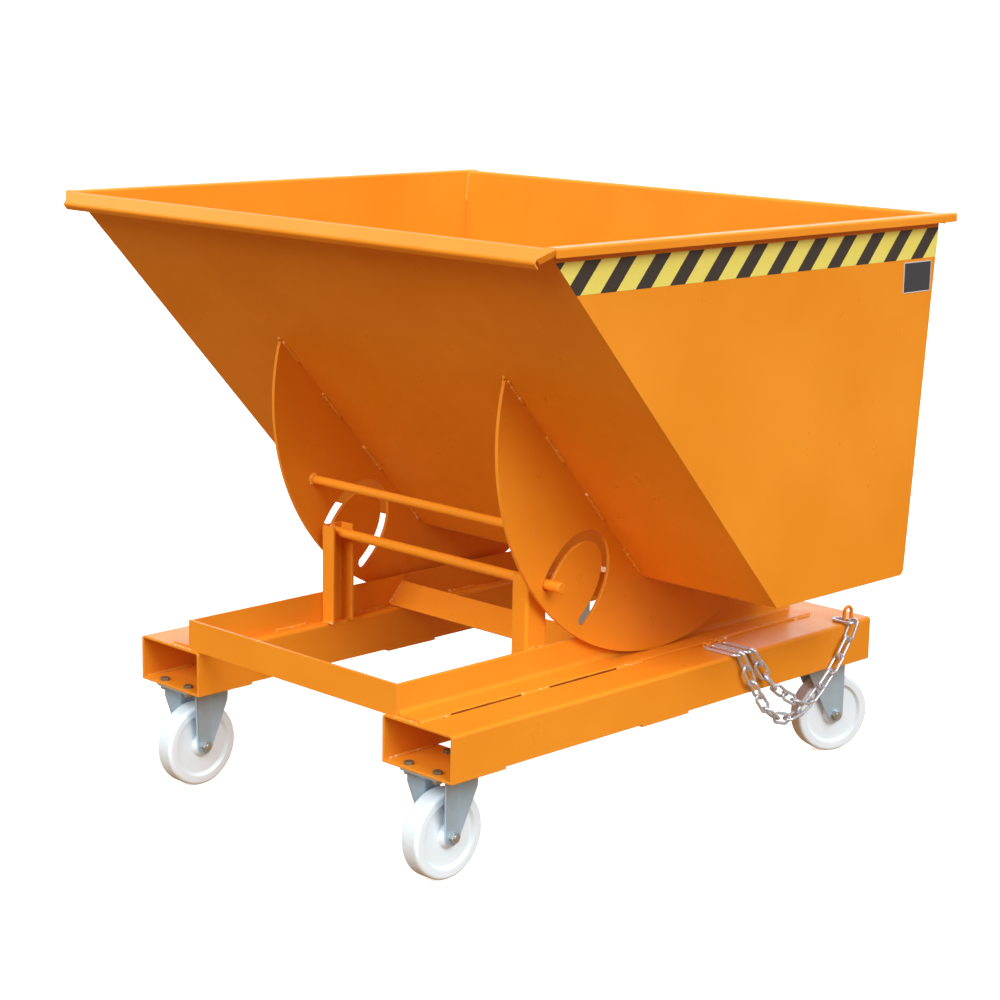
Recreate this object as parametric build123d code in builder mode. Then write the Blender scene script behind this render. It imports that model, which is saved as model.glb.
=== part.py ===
from build123d import *
from math import cos, hypot, radians, sin, tan
import os

os.makedirs("parts", exist_ok=True)

# Roll-over tipping hopper on castors, sizes in millimetres.
# X runs across, +Y to the rear, +Z up, and Z = 0 is the floor under the wheels.
# The tub rolls forward on its rockers, towards -Y.

# Wheels and castors
wheel_r = 90.0
wheel_w = 45.0
wheel_edge_r = 8.0
wheel_hub_r = 20.0
wheel_dish_r = 70.0
wheel_dish = 6.0
hub_side_gap = 0.5
axle_bolt_r = 6.0
running_gap = 0.05
fork_side_gap = 5.0
fork_sheet = 4.0
fork_end_r = 19.0
bracket_strip = 40.0
bracket_wing = 25.0
bracket_top = 96.0
castor_height = 227.0
castor_plate_x = 110.0
castor_plate_y = 135.0
castor_plate_t = 5.0
castor_bolts_x = 80.0
castor_bolts_y = 105.0
castor_inset = 70.0
swivel_trail = 42.0
swivel_swing = -22.0
swivel_race_r = 35.0
swivel_head_h = 17.0
swivel_gap = 0.3
crown_t = 5.0
crown_front = 38.0
kingpin_r = 7.0
kingpin_head_r = 13.0
kingpin_head_h = 7.0

# Screws
m10_r = 5.0
m10_af = 17.0
m10_head_h = 6.4
m10_nut_h = 8.0
m12_af = 19.0
m12_head_h = 7.5
m12_nut_h = 10.0
screw_end = 2.0
hole_gap = 0.5
thread_gap = 0.05

# Fork pockets
pocket_gap = 572.0
pocket_w = 194.0
pocket_h = 97.0
pocket_l = 1324.0
pocket_t = 5.0
pocket_bend_r = 8.0
pad_t = 5.0
pad_l = 146.0
strap_at = 545.0

# Guide rails and crossbars
rail_leg = 65.0
rail_t = 6.0
rail_root_r = 9.0
rail_ledge = 29.0
rail_end_gap = 94.0
front_bar_setback = 3.5
middle_bar_at = 617.0
rear_bar_gap = 79.0

# Posts and guide axle
axle_at = 397.0
axle_rise = 196.0
axle_r = 11.0
axle_stub = 41.0
post_w = 60.0
post_d = 41.0
post_t = 5.0
post_over = 16.0

# Tub
tub_w = 1395.0
tub_top_z = 1262.0
floor_z = 495.5
floor_at = 692.0
floor_l = 432.5
slope_angle = 47.6
back_angle = 4.6
side_t = 3.0
slope_t = 3.0
back_t = 6.0
floor_bend_r = 14.0
fold_r = 3.0
side_lip = 26.0
side_return = 18.0
front_lip = 34.0
front_return = 13.0
rear_lip = 24.0
rear_return = 16.0
lip_corner = 4.5

# Rockers
rocker_r = 495.0
rocker_t = 8.0
rocker_rail_gap = 12.0
roll_at = 743.0
roll_gap = 0.3
tip_angle = 80.0
slot_gap = 1.0
slot_end_play = 0.3
rocker_tail = 347.0
tie_rod_r = 10.0
tie_rod_at = 362.0
tie_rod_rise = 312.0
pin_r = 5.0

# Latch
lever_t = 12.0
lever_release = 25.0
lever_boss_r = 22.0
lever_hook_r = 27.0
latch_pin_r = 8.0
latch_pin_rise = 56.0
latch_pin_set = 32.0
latch_lug_t = 8.0
latch_base = 60.0
latch_side_gap = 0.5
catch_bar_r = 8.0
catch_bar_gap = 2.5
catch_rise = 64.0
catch_reach = 42.0
catch_side_gap = 4.0
catch_ear_t = 8.0
catch_ear_r = 16.0
catch_foot = 80.0

# Chain
wire_r = 3.5
link_pitch = 43.5
link_play = 0.95
link_inner_w = 14.0
end_link_l = 86.0
end_link_w = 18.0
eye_rod_r = 4.0
eye_w = 34.0
eye_h = 38.0
eye_gap = 55.0
chain_wall_gap = 0.5
chain_roof_gap = 0.3
hook_gap = 3.2
keeper_t = 4.0
keeper_w = 8.0
keeper_gap = 1.2
main_twist = 90.0
tail_twist = 72.0
main_headings = (242, 232, 226, 219, 214, 206, 188, 164, 143, 130, 124, 122, 122)
tail_headings = (-55, -49, -42, -36, -28, -20)

# Tape and type plate
tape_t = 0.5
tape_top_gap = 30.0
tape_h = 61.0
plate_w = 96.0
plate_h = 64.0
plate_t = 1.0
plate_rear_gap = 10.0
plate_tape_gap = 6.0

# Heights of the chassis
pad_top_z = castor_height + pad_t
roof_z = castor_height + pocket_h
track_z = roof_z + rail_t
axle_z = track_z + axle_rise
tie_rod_z = track_z + tie_rod_rise
roll_z = track_z + roll_gap + rocker_r
plate_z = castor_height - castor_plate_t
crown_z = plate_z - swivel_head_h

# Places across
pocket_in = pocket_gap / 2
pocket_out = pocket_in + pocket_w
castor_x = (pocket_in + pocket_out) / 2
rail_in = pocket_in + rail_ledge
rail_out = rail_in + rail_t
rocker_in = rail_out + rocker_rail_gap
rocker_out = rocker_in + rocker_t
side_out = tub_w / 2
side_in = side_out - side_t
leg_in = wheel_w / 2 + fork_side_gap
leg_out = leg_in + fork_sheet

# Front lip of the tub and rear wheel, both measured from the front of the pockets
slope = radians(slope_angle)
back = radians(back_angle)
fold_z = tub_top_z - slope_t * (sin(slope) + cos(slope))
fold_at = floor_at - (fold_z - floor_z) / tan(slope)
lip_end_at = fold_at - front_lip * sin(slope)
lip_arc_at = lip_end_at + fold_r * (sin(slope) + cos(slope))
foremost_at = lip_arc_at - fold_r - slope_t
swing = radians(swivel_swing)
rear_castor_at = pocket_l - castor_inset
wheel_reach = (wheel_r - wheel_edge_r) * cos(swing) + (wheel_w / 2 - wheel_edge_r) * abs(sin(swing))
rearmost_at = rear_castor_at + swivel_trail * cos(swing) + wheel_reach + wheel_edge_r

# Places along, with Y = 0 halfway between the front lip and the rear wheels
front_y = -(foremost_at + rearmost_at) / 2
rear_y = front_y + pocket_l
front_castor_y = front_y + castor_inset
rear_castor_y = front_y + rear_castor_at
rail_front_y = front_y + front_bar_setback + rail_t
rail_rear_y = rear_y - rail_end_gap
axle_y = front_y + axle_at
tie_rod_y = front_y + tie_rod_at
roll_y = front_y + roll_at
floor_y = front_y + floor_at
fold_y = front_y + fold_at
heel_y = floor_y + floor_l

# Section of the tub, outer faces
slope_foot = (floor_y - slope_t * sin(slope), floor_z + slope_t * tan(slope) * sin(slope))
slope_fold = (fold_y, fold_z)
front_lip_end = (fold_y - front_lip * sin(slope), fold_z - front_lip * cos(slope))
front_return_end = (front_lip_end[0] + front_return * cos(slope), front_lip_end[1] - front_return * sin(slope))
back_fold_z = tub_top_z - back_t * (sin(back) + cos(back))
back_fold = (heel_y + (back_fold_z - floor_z) * tan(back), back_fold_z)
rear_lip_end = (back_fold[0] + rear_lip * cos(back), back_fold[1] - rear_lip * sin(back))
rear_return_end = (rear_lip_end[0] - rear_return * sin(back), rear_lip_end[1] - rear_return * cos(back))


def slope_line(z):
    """Y of the outer face of the front slope at height z."""
    return floor_y - (z - floor_z) / tan(slope)


def back_line(z):
    """Y of the outer face of the back at height z."""
    return heel_y + (z - floor_z) * tan(back)


def castor_foot(side, y, turn):
    """Floor plane under a castor, x along the wheel axle and y along the trail."""
    angle = radians(side * turn)
    return Plane(origin=(side * castor_x, y, 0), x_dir=(cos(angle), sin(angle), 0), z_dir=(0, 0, 1))


def axle_plane(foot, trail):
    """Upright plane through a wheel axle, x along the axle."""
    return Plane(origin=foot.from_local_coords((0, trail, wheel_r)), x_dir=foot.x_dir, z_dir=-foot.y_dir)


def cheek_plane(foot):
    """Upright plane through a castor, square to the wheel axle."""
    return Plane(origin=foot.origin, x_dir=foot.y_dir, z_dir=foot.x_dir)


def link_path(origin, along, across, inner_l, inner_w):
    """Centre line of a chain link lying in the plane of two directions."""
    normal = Vector(*along).cross(Vector(*across))
    lying = Plane(origin=origin, x_dir=along, z_dir=normal)
    half = (inner_l - inner_w) / 2
    bow = inner_w / 2 + wire_r
    with BuildLine(lying) as path:
        Line((-half, -bow), (half, -bow))
        ThreePointArc((half, -bow), (half + bow, 0), (half, bow))
        Line((half, bow), (-half, bow))
        ThreePointArc((-half, bow), (-half - bow, 0), (-half, -bow))
    return path.wire()


def chain_run(x, start, headings, twist):
    """Centre lines of a run of links hanging at one x from a point of the Y-Z plane."""
    paths = []
    place = start
    for number, heading in enumerate(headings):
        along = (0, cos(radians(heading)), sin(radians(heading)))
        turned = radians(number * twist)
        across = (cos(turned), -along[2] * sin(turned), along[1] * sin(turned))
        middle = (x, place[0] + along[1] * link_pitch / 2, place[1] + along[2] * link_pitch / 2)
        paths.append(link_path(middle, along, across, link_pitch + link_play, link_inner_w))
        place = (place[0] + along[1] * link_pitch, place[1] + along[2] * link_pitch)
    return paths


def run_end(start, headings):
    """Point of the Y-Z plane where a run of links ends."""
    y = start[0] + link_pitch * sum(cos(radians(heading)) for heading in headings)
    z = start[1] + link_pitch * sum(sin(radians(heading)) for heading in headings)
    return (y, z)


def slot_place(angle):
    """Place of the guide axle in the rockers when the tub has rolled by an angle."""
    ahead = axle_y - roll_y + rocker_r * angle
    above = axle_z - roll_z
    return (roll_y + cos(angle) * ahead + sin(angle) * above, roll_z - sin(angle) * ahead + cos(angle) * above)


def slot_edge(angle, offset_by):
    """Point of the slot edge beside the place of the guide axle."""
    before = slot_place(angle - 0.001)
    after = slot_place(angle + 0.001)
    span = hypot(after[0] - before[0], after[1] - before[1])
    here = slot_place(angle)
    return (
        here[0] - (after[1] - before[1]) / span * offset_by,
        here[1] + (after[0] - before[0]) / span * offset_by,
    )


def slot_end(angle, offset_by):
    """Outermost point of the round end of the slot."""
    before = slot_place(angle - 0.001)
    after = slot_place(angle + 0.001)
    span = hypot(after[0] - before[0], after[1] - before[1])
    here = slot_place(angle)
    return (
        here[0] + (after[0] - before[0]) / span * offset_by,
        here[1] + (after[1] - before[1]) / span * offset_by,
    )


sides = (("left", -1), ("right", 1))
front_feet = [(name, castor_foot(side, front_castor_y, 0)) for name, side in sides]
rear_feet = [(name, castor_foot(side, rear_castor_y, swivel_swing)) for name, side in sides]

# Chain geometry, all hung from the eye on the right pocket
chain_x = pocket_out + link_inner_w / 2 + 2 * wire_r + chain_wall_gap
flat_link_z = roof_z + wire_r + chain_roof_gap
anchor_x = chain_x - (link_pitch + link_play) / 2 - wire_r
eye_y = rear_y - eye_gap - eye_w / 2
eye_leg_y = eye_y - eye_w / 2 + eye_rod_r
hang_gap = wire_r + link_play
main_first = radians(main_headings[0])
main_last = radians(main_headings[-1])
main_start = (eye_leg_y - hang_gap * cos(main_first), flat_link_z - hang_gap * sin(main_first))
main_end = run_end(main_start, main_headings)
main_link_y = main_end[0] - hang_gap * cos(main_last)
end_link_x = chain_x - wire_r - end_link_l / 2
held_start = run_end(main_start, main_headings[:5])
held_heading = radians(main_headings[5])
held_y = held_start[0] + cos(held_heading) * link_pitch / 2 + sin(held_heading) * (link_inner_w / 2 + wire_r)
held_z = held_start[1] + sin(held_heading) * link_pitch / 2 - cos(held_heading) * (link_inner_w / 2 + wire_r)
tail_last = radians(tail_headings[-1])
hook_reach = wire_r + hook_gap - link_play / 2
tail_end = (held_y + hook_reach * cos(tail_last), held_z + hook_reach * sin(tail_last))
tail_span = run_end((0, 0), tail_headings)
tail_start = (tail_end[0] - tail_span[0], tail_end[1] - tail_span[1])
tail_first = radians(tail_headings[0])
tail_link_y = tail_start[0] + hang_gap * cos(tail_first)

# Fork pockets, folded to an inverted channel
for name, side in sides:
    with BuildPart() as pocket:
        with BuildSketch(Plane.XZ.offset(-front_y)) as pocket_section:
            with BuildLine():
                FilletPolyline(
                    (side * pocket_in, pad_top_z),
                    (side * pocket_in, roof_z),
                    (side * pocket_out, roof_z),
                    (side * pocket_out, pad_top_z),
                    radius=pocket_bend_r,
                )
                offset(amount=pocket_t, side=Side.RIGHT if side > 0 else Side.LEFT)
            make_face()
        extrude(amount=-pocket_l)
    pocket.part.label = "fork_pocket_" + name
    export_step(pocket.part, "parts/fork_pocket_" + name + ".step")

# Pads over the castors and the strap between them, welded under the pocket walls
for name, side in sides:
    for piece, castor_y in (("front_pad", front_castor_y), ("rear_pad", rear_castor_y)):
        pad_y = front_y + pad_l / 2 if piece == "front_pad" else rear_y - pad_l / 2
        with BuildPart() as pad:
            with BuildSketch(Plane.XY.offset(castor_height)) as pad_outline:
                with Locations((side * castor_x, pad_y)):
                    Rectangle(pocket_w, pad_l)
                with Locations((side * castor_x, castor_y)):
                    with GridLocations(castor_bolts_x, castor_bolts_y, 2, 2):
                        Circle(m10_r + hole_gap, mode=Mode.SUBTRACT)
            extrude(amount=pad_t)
        pad.part.label = piece + "_" + name
        export_step(pad.part, "parts/" + piece + "_" + name + ".step")
    with BuildPart() as strap:
        with BuildSketch(Plane.XY.offset(castor_height)) as strap_outline:
            with Locations((side * castor_x, front_y + strap_at + pad_l / 2)):
                Rectangle(pocket_w, pad_l)
        extrude(amount=pad_t)
    strap.part.label = "middle_strap_" + name
    export_step(strap.part, "parts/middle_strap_" + name + ".step")

# Guide rails the rockers roll on
rail_points = (
    (0, 0),
    (rail_leg, 0),
    (rail_leg, rail_t),
    (rail_t, rail_t),
    (rail_t, rail_leg),
    (0, rail_leg),
)
rail_radii = (0, 0, rail_t / 2, rail_root_r, rail_t / 2, 0)
for name, side in sides:
    heel = Plane(origin=(side * rail_in, rail_front_y, roof_z), x_dir=(side, 0, 0), z_dir=(0, -side, 0))
    with BuildPart() as rail:
        with BuildSketch(heel) as rail_section:
            with BuildLine():
                FilletPolyline(*rail_points, radius=rail_radii, close=True)
            make_face()
        extrude(amount=-side * (rail_rear_y - rail_front_y))
    rail.part.label = "guide_rail_" + name
    export_step(rail.part, "parts/guide_rail_" + name + ".step")

with BuildPart() as front_crossbar:
    with BuildSketch(Plane.XZ.offset(rail_t - rail_front_y)) as front_bar_outline:
        with Locations((0, roof_z + rail_leg / 2)):
            Rectangle(2 * rail_out, rail_leg)
    extrude(amount=-rail_t)
front_crossbar.part.label = "front_crossbar"
export_step(front_crossbar.part, "parts/front_crossbar.step")

# Middle crossbar, an angle laid like a roof on the ledges beside the rails
ridge = Plane(
    origin=(-rail_in, front_y + middle_bar_at, roof_z + (rail_leg + rail_t) * sin(radians(45))),
    x_dir=(0, -1, -1),
    z_dir=(1, 0, 0),
)
with BuildPart() as middle_crossbar:
    with BuildSketch(ridge) as middle_bar_section:
        with BuildLine():
            FilletPolyline(*rail_points, radius=rail_radii, close=True)
        make_face()
    extrude(amount=2 * rail_in)
middle_crossbar.part.label = "middle_crossbar"
export_step(middle_crossbar.part, "parts/middle_crossbar.step")

# Rear crossbar between the pockets, level with their roofs
rear_bar_y = rear_y - rear_bar_gap - rail_leg
rear_heel = Plane(origin=(pocket_in, rear_bar_y, roof_z), x_dir=(0, 1, 0), z_dir=(-1, 0, 0))
with BuildPart() as rear_crossbar:
    with BuildSketch(rear_heel) as rear_bar_section:
        with BuildLine():
            FilletPolyline(*rail_points, radius=rail_radii, close=True)
        make_face()
    extrude(amount=pocket_gap)
rear_crossbar.part.label = "rear_crossbar"
export_step(rear_crossbar.part, "parts/rear_crossbar.step")

# Channel posts that carry the guide axle
for name, side in sides:
    with BuildPart() as post:
        with BuildSketch(Plane.XY.offset(roof_z)) as post_section:
            with BuildLine():
                FilletPolyline(
                    (side * (rail_in - post_d), axle_y - post_w / 2),
                    (side * rail_in, axle_y - post_w / 2),
                    (side * rail_in, axle_y + post_w / 2),
                    (side * (rail_in - post_d), axle_y + post_w / 2),
                    radius=post_t * 1.5,
                )
                offset(amount=post_t, side=Side.LEFT if side > 0 else Side.RIGHT)
            make_face()
        extrude(amount=axle_z + post_over - roof_z)
        with BuildSketch(Plane.YZ) as post_hole:
            with Locations((axle_y, axle_z)):
                Circle(axle_r + thread_gap)
        extrude(amount=side * rail_out, mode=Mode.SUBTRACT)
    post.part.label = "axle_post_" + name
    export_step(post.part, "parts/axle_post_" + name + ".step")

with BuildPart() as guide_axle:
    with BuildSketch(Plane.YZ) as guide_axle_section:
        with Locations((axle_y, axle_z)):
            Circle(axle_r)
    extrude(amount=rocker_out + axle_stub, both=True)
    chamfer(guide_axle.edges().filter_by(GeomType.CIRCLE), length=axle_r / 8)
guide_axle.part.label = "guide_axle"
export_step(guide_axle.part, "parts/guide_axle.step")

# Fixed front castors
bracket_z = wheel_r - fork_end_r
for name, foot in front_feet:
    with BuildPart() as bracket:
        with BuildSketch(foot.offset(bracket_z)) as leg_section:
            for turn in (-1, 1):
                with BuildLine():
                    FilletPolyline(
                        (turn * (leg_in + bracket_wing), -bracket_strip / 2 - bracket_wing),
                        (turn * leg_in, -bracket_strip / 2),
                        (turn * leg_in, bracket_strip / 2),
                        (turn * (leg_in + bracket_wing), bracket_strip / 2 + bracket_wing),
                        radius=fork_sheet * 2,
                    )
                    offset(amount=fork_sheet, side=Side.RIGHT if turn > 0 else Side.LEFT)
                make_face()
        extrude(amount=plate_z - bracket_z)
        with BuildSketch(cheek_plane(foot)) as leg_outline:
            with Locations((0, wheel_r)):
                Circle(fork_end_r)
            with Locations((0, plate_z - fork_sheet / 2)):
                Rectangle(bracket_top, fork_sheet)
            make_hull()
        extrude(amount=castor_plate_x, both=True, mode=Mode.INTERSECT)
        with BuildSketch(foot.offset(plate_z)) as bracket_plate:
            RectangleRounded(castor_plate_x, castor_plate_y, castor_plate_t * 2)
            with GridLocations(castor_bolts_x, castor_bolts_y, 2, 2):
                Circle(m10_r + hole_gap, mode=Mode.SUBTRACT)
        extrude(amount=castor_plate_t)
        with BuildSketch(cheek_plane(foot)) as bracket_holes:
            with Locations((0, wheel_r)):
                Circle(axle_bolt_r + thread_gap)
        extrude(amount=castor_plate_x, both=True, mode=Mode.SUBTRACT)
    bracket.part.label = "front_castor_bracket_" + name
    export_step(bracket.part, "parts/front_castor_bracket_" + name + ".step")

# Top plates of the swivel castors, with the upper ball race
race_h = (swivel_head_h - swivel_gap) / 2
for name, foot in rear_feet:
    square = Plane(origin=foot.origin, x_dir=(1, 0, 0), z_dir=(0, 0, 1))
    with BuildPart() as top_plate:
        with BuildSketch(square.offset(plate_z)) as top_plate_outline:
            RectangleRounded(castor_plate_x, castor_plate_y, castor_plate_t * 2)
            with GridLocations(castor_bolts_x, castor_bolts_y, 2, 2):
                Circle(m10_r + hole_gap, mode=Mode.SUBTRACT)
        extrude(amount=castor_plate_t)
        with BuildSketch(square.offset(plate_z)) as upper_race:
            Circle(swivel_race_r)
        extrude(amount=-race_h)
        with BuildSketch(square.offset(castor_height)) as top_plate_bore:
            Circle(kingpin_r + thread_gap)
        extrude(amount=-swivel_head_h, mode=Mode.SUBTRACT)
    top_plate.part.label = "rear_castor_plate_" + name
    export_step(top_plate.part, "parts/rear_castor_plate_" + name + ".step")

# Swivel forks with the lower ball race
for name, foot in rear_feet:
    with BuildPart() as fork:
        for turn in (-1, 1):
            with BuildSketch(cheek_plane(foot).offset(turn * leg_in)) as cheek_outline:
                with Locations((swivel_trail, wheel_r)):
                    Circle(fork_end_r)
                with BuildLine():
                    Line((-crown_front, crown_z), (swivel_trail + fork_end_r, crown_z))
                make_hull()
            extrude(amount=turn * fork_sheet)
        with BuildSketch(foot.offset(crown_z)) as crown_outline:
            with Locations(((0, (swivel_trail + fork_end_r - crown_front) / 2))):
                Rectangle(2 * leg_out, swivel_trail + fork_end_r + crown_front)
        extrude(amount=-crown_t)
        with BuildSketch(foot.offset(crown_z)) as lower_race:
            Circle(swivel_race_r)
        extrude(amount=race_h)
        with BuildSketch(foot.offset(crown_z + race_h)) as fork_bore:
            Circle(kingpin_r + running_gap)
        extrude(amount=-race_h - crown_t, mode=Mode.SUBTRACT)
        with BuildSketch(cheek_plane(foot)) as fork_holes:
            with Locations((swivel_trail, wheel_r)):
                Circle(axle_bolt_r + thread_gap)
        extrude(amount=castor_plate_x, both=True, mode=Mode.SUBTRACT)
    fork.part.label = "rear_castor_fork_" + name
    export_step(fork.part, "parts/rear_castor_fork_" + name + ".step")

with BuildPart() as swivel_kingpins:
    for name, foot in rear_feet:
        with BuildSketch(foot.offset(castor_height)) as kingpin_shank:
            Circle(kingpin_r)
        extrude(amount=crown_z - crown_t - swivel_gap - castor_height)
        with BuildSketch(foot.offset(crown_z - crown_t - swivel_gap)) as kingpin_head:
            Circle(kingpin_head_r)
        extrude(amount=-kingpin_head_h)
swivel_kingpins.part.label = "swivel_kingpins"
export_step(swivel_kingpins.part, "parts/swivel_kingpins.step")

# Solid nylon wheels, dished on both faces
hub_half = leg_in - hub_side_gap
web_half = wheel_w / 2 - wheel_dish
for end, feet, trail in (("front", front_feet, 0), ("rear", rear_feet, swivel_trail)):
    for name, foot in feet:
        place = axle_plane(foot, trail)
        with BuildPart() as wheel:
            with BuildSketch(place) as wheel_section:
                with BuildLine():
                    FilletPolyline(
                        (-hub_half, axle_bolt_r + running_gap),
                        (hub_half, axle_bolt_r + running_gap),
                        (hub_half, wheel_hub_r),
                        (web_half, wheel_hub_r + wheel_dish),
                        (web_half, wheel_dish_r - wheel_dish),
                        (wheel_w / 2, wheel_dish_r),
                        (wheel_w / 2, wheel_r),
                        (-wheel_w / 2, wheel_r),
                        (-wheel_w / 2, wheel_dish_r),
                        (-web_half, wheel_dish_r - wheel_dish),
                        (-web_half, wheel_hub_r + wheel_dish),
                        (-hub_half, wheel_hub_r),
                        radius=(0, 0, 2, 3, 4, 2, wheel_edge_r, wheel_edge_r, 2, 4, 3, 2),
                        close=True,
                    )
                make_face()
            revolve(axis=Axis(place.origin, place.x_dir))
        wheel.part.label = end + "_wheel_" + name
        export_step(wheel.part, "parts/" + end + "_wheel_" + name + ".step")

# Axle bolts and nuts, one group for the fixed castors
with BuildPart() as front_axle_bolts:
    for name, foot in front_feet:
        with BuildSketch(cheek_plane(foot).offset(-leg_out)) as front_bolt_head:
            with Locations((0, wheel_r)):
                RegularPolygon(m12_af / 2, 6, major_radius=False)
        extrude(amount=-m12_head_h)
        with BuildSketch(cheek_plane(foot).offset(-leg_out)) as front_bolt_shank:
            with Locations((0, wheel_r)):
                Circle(axle_bolt_r)
        extrude(amount=2 * leg_out + m12_nut_h + screw_end)
front_axle_bolts.part.label = "front_axle_bolts"
export_step(front_axle_bolts.part, "parts/front_axle_bolts.step")

with BuildPart() as front_axle_nuts:
    for name, foot in front_feet:
        with BuildSketch(cheek_plane(foot).offset(leg_out)) as front_nut:
            with Locations((0, wheel_r)):
                RegularPolygon(m12_af / 2, 6, major_radius=False)
                Circle(axle_bolt_r + thread_gap, mode=Mode.SUBTRACT)
        extrude(amount=m12_nut_h)
front_axle_nuts.part.label = "front_axle_nuts"
export_step(front_axle_nuts.part, "parts/front_axle_nuts.step")

for name, foot in rear_feet:
    with BuildPart() as rear_bolt:
        with BuildSketch(cheek_plane(foot).offset(-leg_out)) as rear_bolt_head:
            with Locations((swivel_trail, wheel_r)):
                RegularPolygon(m12_af / 2, 6, major_radius=False)
        extrude(amount=-m12_head_h)
        with BuildSketch(cheek_plane(foot).offset(-leg_out)) as rear_bolt_shank:
            with Locations((swivel_trail, wheel_r)):
                Circle(axle_bolt_r)
        extrude(amount=2 * leg_out + m12_nut_h + screw_end)
    rear_bolt.part.label = "rear_axle_bolt_" + name
    export_step(rear_bolt.part, "parts/rear_axle_bolt_" + name + ".step")
    with BuildPart() as rear_nut:
        with BuildSketch(cheek_plane(foot).offset(leg_out)) as rear_nut_outline:
            with Locations((swivel_trail, wheel_r)):
                RegularPolygon(m12_af / 2, 6, major_radius=False)
                Circle(axle_bolt_r + thread_gap, mode=Mode.SUBTRACT)
        extrude(amount=m12_nut_h)
    rear_nut.part.label = "rear_axle_nut_" + name
    export_step(rear_nut.part, "parts/rear_axle_nut_" + name + ".step")

# Screws that hold the castors under the pads
bolt_places = [
    (side * castor_x + dx * castor_bolts_x / 2, y + dy * castor_bolts_y / 2)
    for name, side in sides
    for y in (front_castor_y, rear_castor_y)
    for dx in (-1, 1)
    for dy in (-1, 1)
]
with BuildPart() as castor_bolts:
    with BuildSketch(Plane.XY.offset(pad_top_z)) as bolt_heads:
        with Locations(*bolt_places):
            RegularPolygon(m10_af / 2, 6, major_radius=False)
    extrude(amount=m10_head_h)
    with BuildSketch(Plane.XY.offset(pad_top_z)) as bolt_shanks:
        with Locations(*bolt_places):
            Circle(m10_r)
    extrude(amount=plate_z - m10_nut_h - screw_end - pad_top_z)
castor_bolts.part.label = "castor_bolts"
export_step(castor_bolts.part, "parts/castor_bolts.step")

with BuildPart() as castor_nuts:
    with BuildSketch(Plane.XY.offset(plate_z)) as bolt_nuts:
        with Locations(*bolt_places):
            RegularPolygon(m10_af / 2, 6, major_radius=False)
            Circle(m10_r + thread_gap, mode=Mode.SUBTRACT)
    extrude(amount=-m10_nut_h)
castor_nuts.part.label = "castor_nuts"
export_step(castor_nuts.part, "parts/castor_nuts.step")

# Tub sheets
with BuildPart() as front_slope:
    with BuildSketch(Plane.YZ) as slope_section:
        with BuildLine():
            FilletPolyline(slope_foot, slope_fold, front_lip_end, front_return_end, radius=fold_r)
            offset(amount=slope_t, side=Side.RIGHT)
        make_face()
    extrude(amount=side_in, both=True)
front_slope.part.label = "front_slope"
export_step(front_slope.part, "parts/front_slope.step")

with BuildPart() as floor_back_sheet:
    with BuildSketch(Plane.YZ) as floor_back_section:
        with BuildLine():
            FilletPolyline(
                (floor_y, floor_z),
                (heel_y, floor_z),
                back_fold,
                rear_lip_end,
                rear_return_end,
                radius=(floor_bend_r, fold_r, fold_r),
            )
            offset(amount=back_t, side=Side.LEFT)
        make_face()
    extrude(amount=side_in, both=True)
floor_back_sheet.part.label = "floor_back_sheet"
export_step(floor_back_sheet.part, "parts/floor_back_sheet.step")

# Side sheets with their folded rims and the corner pieces of the rim
side_join_z = tub_top_z - side_t - fold_r - side_t
lip_out = side_out + side_lip
lip_rear_y = rear_lip_end[0] + back_t
lip_plane = Plane(
    origin=(0, fold_y - slope_t * cos(slope), fold_z + slope_t * sin(slope)),
    x_dir=(1, 0, 0),
    z_dir=(0, -cos(slope), sin(slope)),
)
corner_reach = front_lip - fold_r - slope_t
corner_tip = lip_out - side_t / 2
with BuildPart() as side_sheet_right:
    with BuildSketch(Plane.YZ.offset(side_in)) as side_outline:
        with BuildLine():
            FilletPolyline(
                (floor_y, floor_z),
                (heel_y, floor_z),
                (back_line(side_join_z), side_join_z),
                (slope_line(side_join_z), side_join_z),
                radius=(0, floor_bend_r, 0, 0),
                close=True,
            )
        make_face()
    extrude(amount=side_t)
    with BuildSketch(Plane.XZ.offset(-fold_y)) as rim_section:
        with BuildLine():
            FilletPolyline(
                (side_out, side_join_z),
                (side_out, tub_top_z - side_t),
                (lip_out - side_t, tub_top_z - side_t),
                (lip_out - side_t, tub_top_z - side_return),
                radius=fold_r,
            )
            offset(amount=side_t, side=Side.LEFT)
        make_face()
    extrude(amount=-(lip_rear_y - fold_y))
    with BuildSketch(Plane.XZ.offset(-lip_rear_y)) as rim_end:
        with Locations(((side_in + lip_out) / 2, tub_top_z - (side_return + side_t / 2) / 2)):
            Rectangle(lip_out - side_in - side_t, side_return - side_t / 2)
    extrude(amount=side_t)
    with BuildSketch(lip_plane) as corner_outline:
        with BuildLine():
            Polyline(
                (side_in, slope_t / 2),
                (corner_tip, slope_t / 2),
                (corner_tip, 0),
                (side_in, -corner_reach),
                close=True,
            )
        make_face()
    extrude(amount=-slope_t)
    with BuildSketch(lip_plane) as corner_skirt:
        with BuildLine():
            Polyline(
                (side_in, -corner_reach),
                (corner_tip, 0),
                (corner_tip - slope_t * 2, 0),
                (side_in, -corner_reach + slope_t * 2),
                close=True,
            )
        make_face()
    extrude(amount=-front_return)
    with BuildSketch(Plane.XY.offset(tub_top_z)) as rim_corner:
        with BuildLine():
            Polyline(
                (lip_out, lip_rear_y),
                (lip_out - lip_corner, lip_rear_y),
                (lip_out, lip_rear_y - lip_corner),
                close=True,
            )
        make_face()
    extrude(amount=-side_return * 2, mode=Mode.SUBTRACT)
    with BuildSketch(Plane.YZ.offset(side_in)) as pin_hole:
        with Locations((roll_y, roll_z)):
            Circle(pin_r + running_gap)
    extrude(amount=side_t, mode=Mode.SUBTRACT)
side_sheet_right.part.label = "side_sheet_right"
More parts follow.
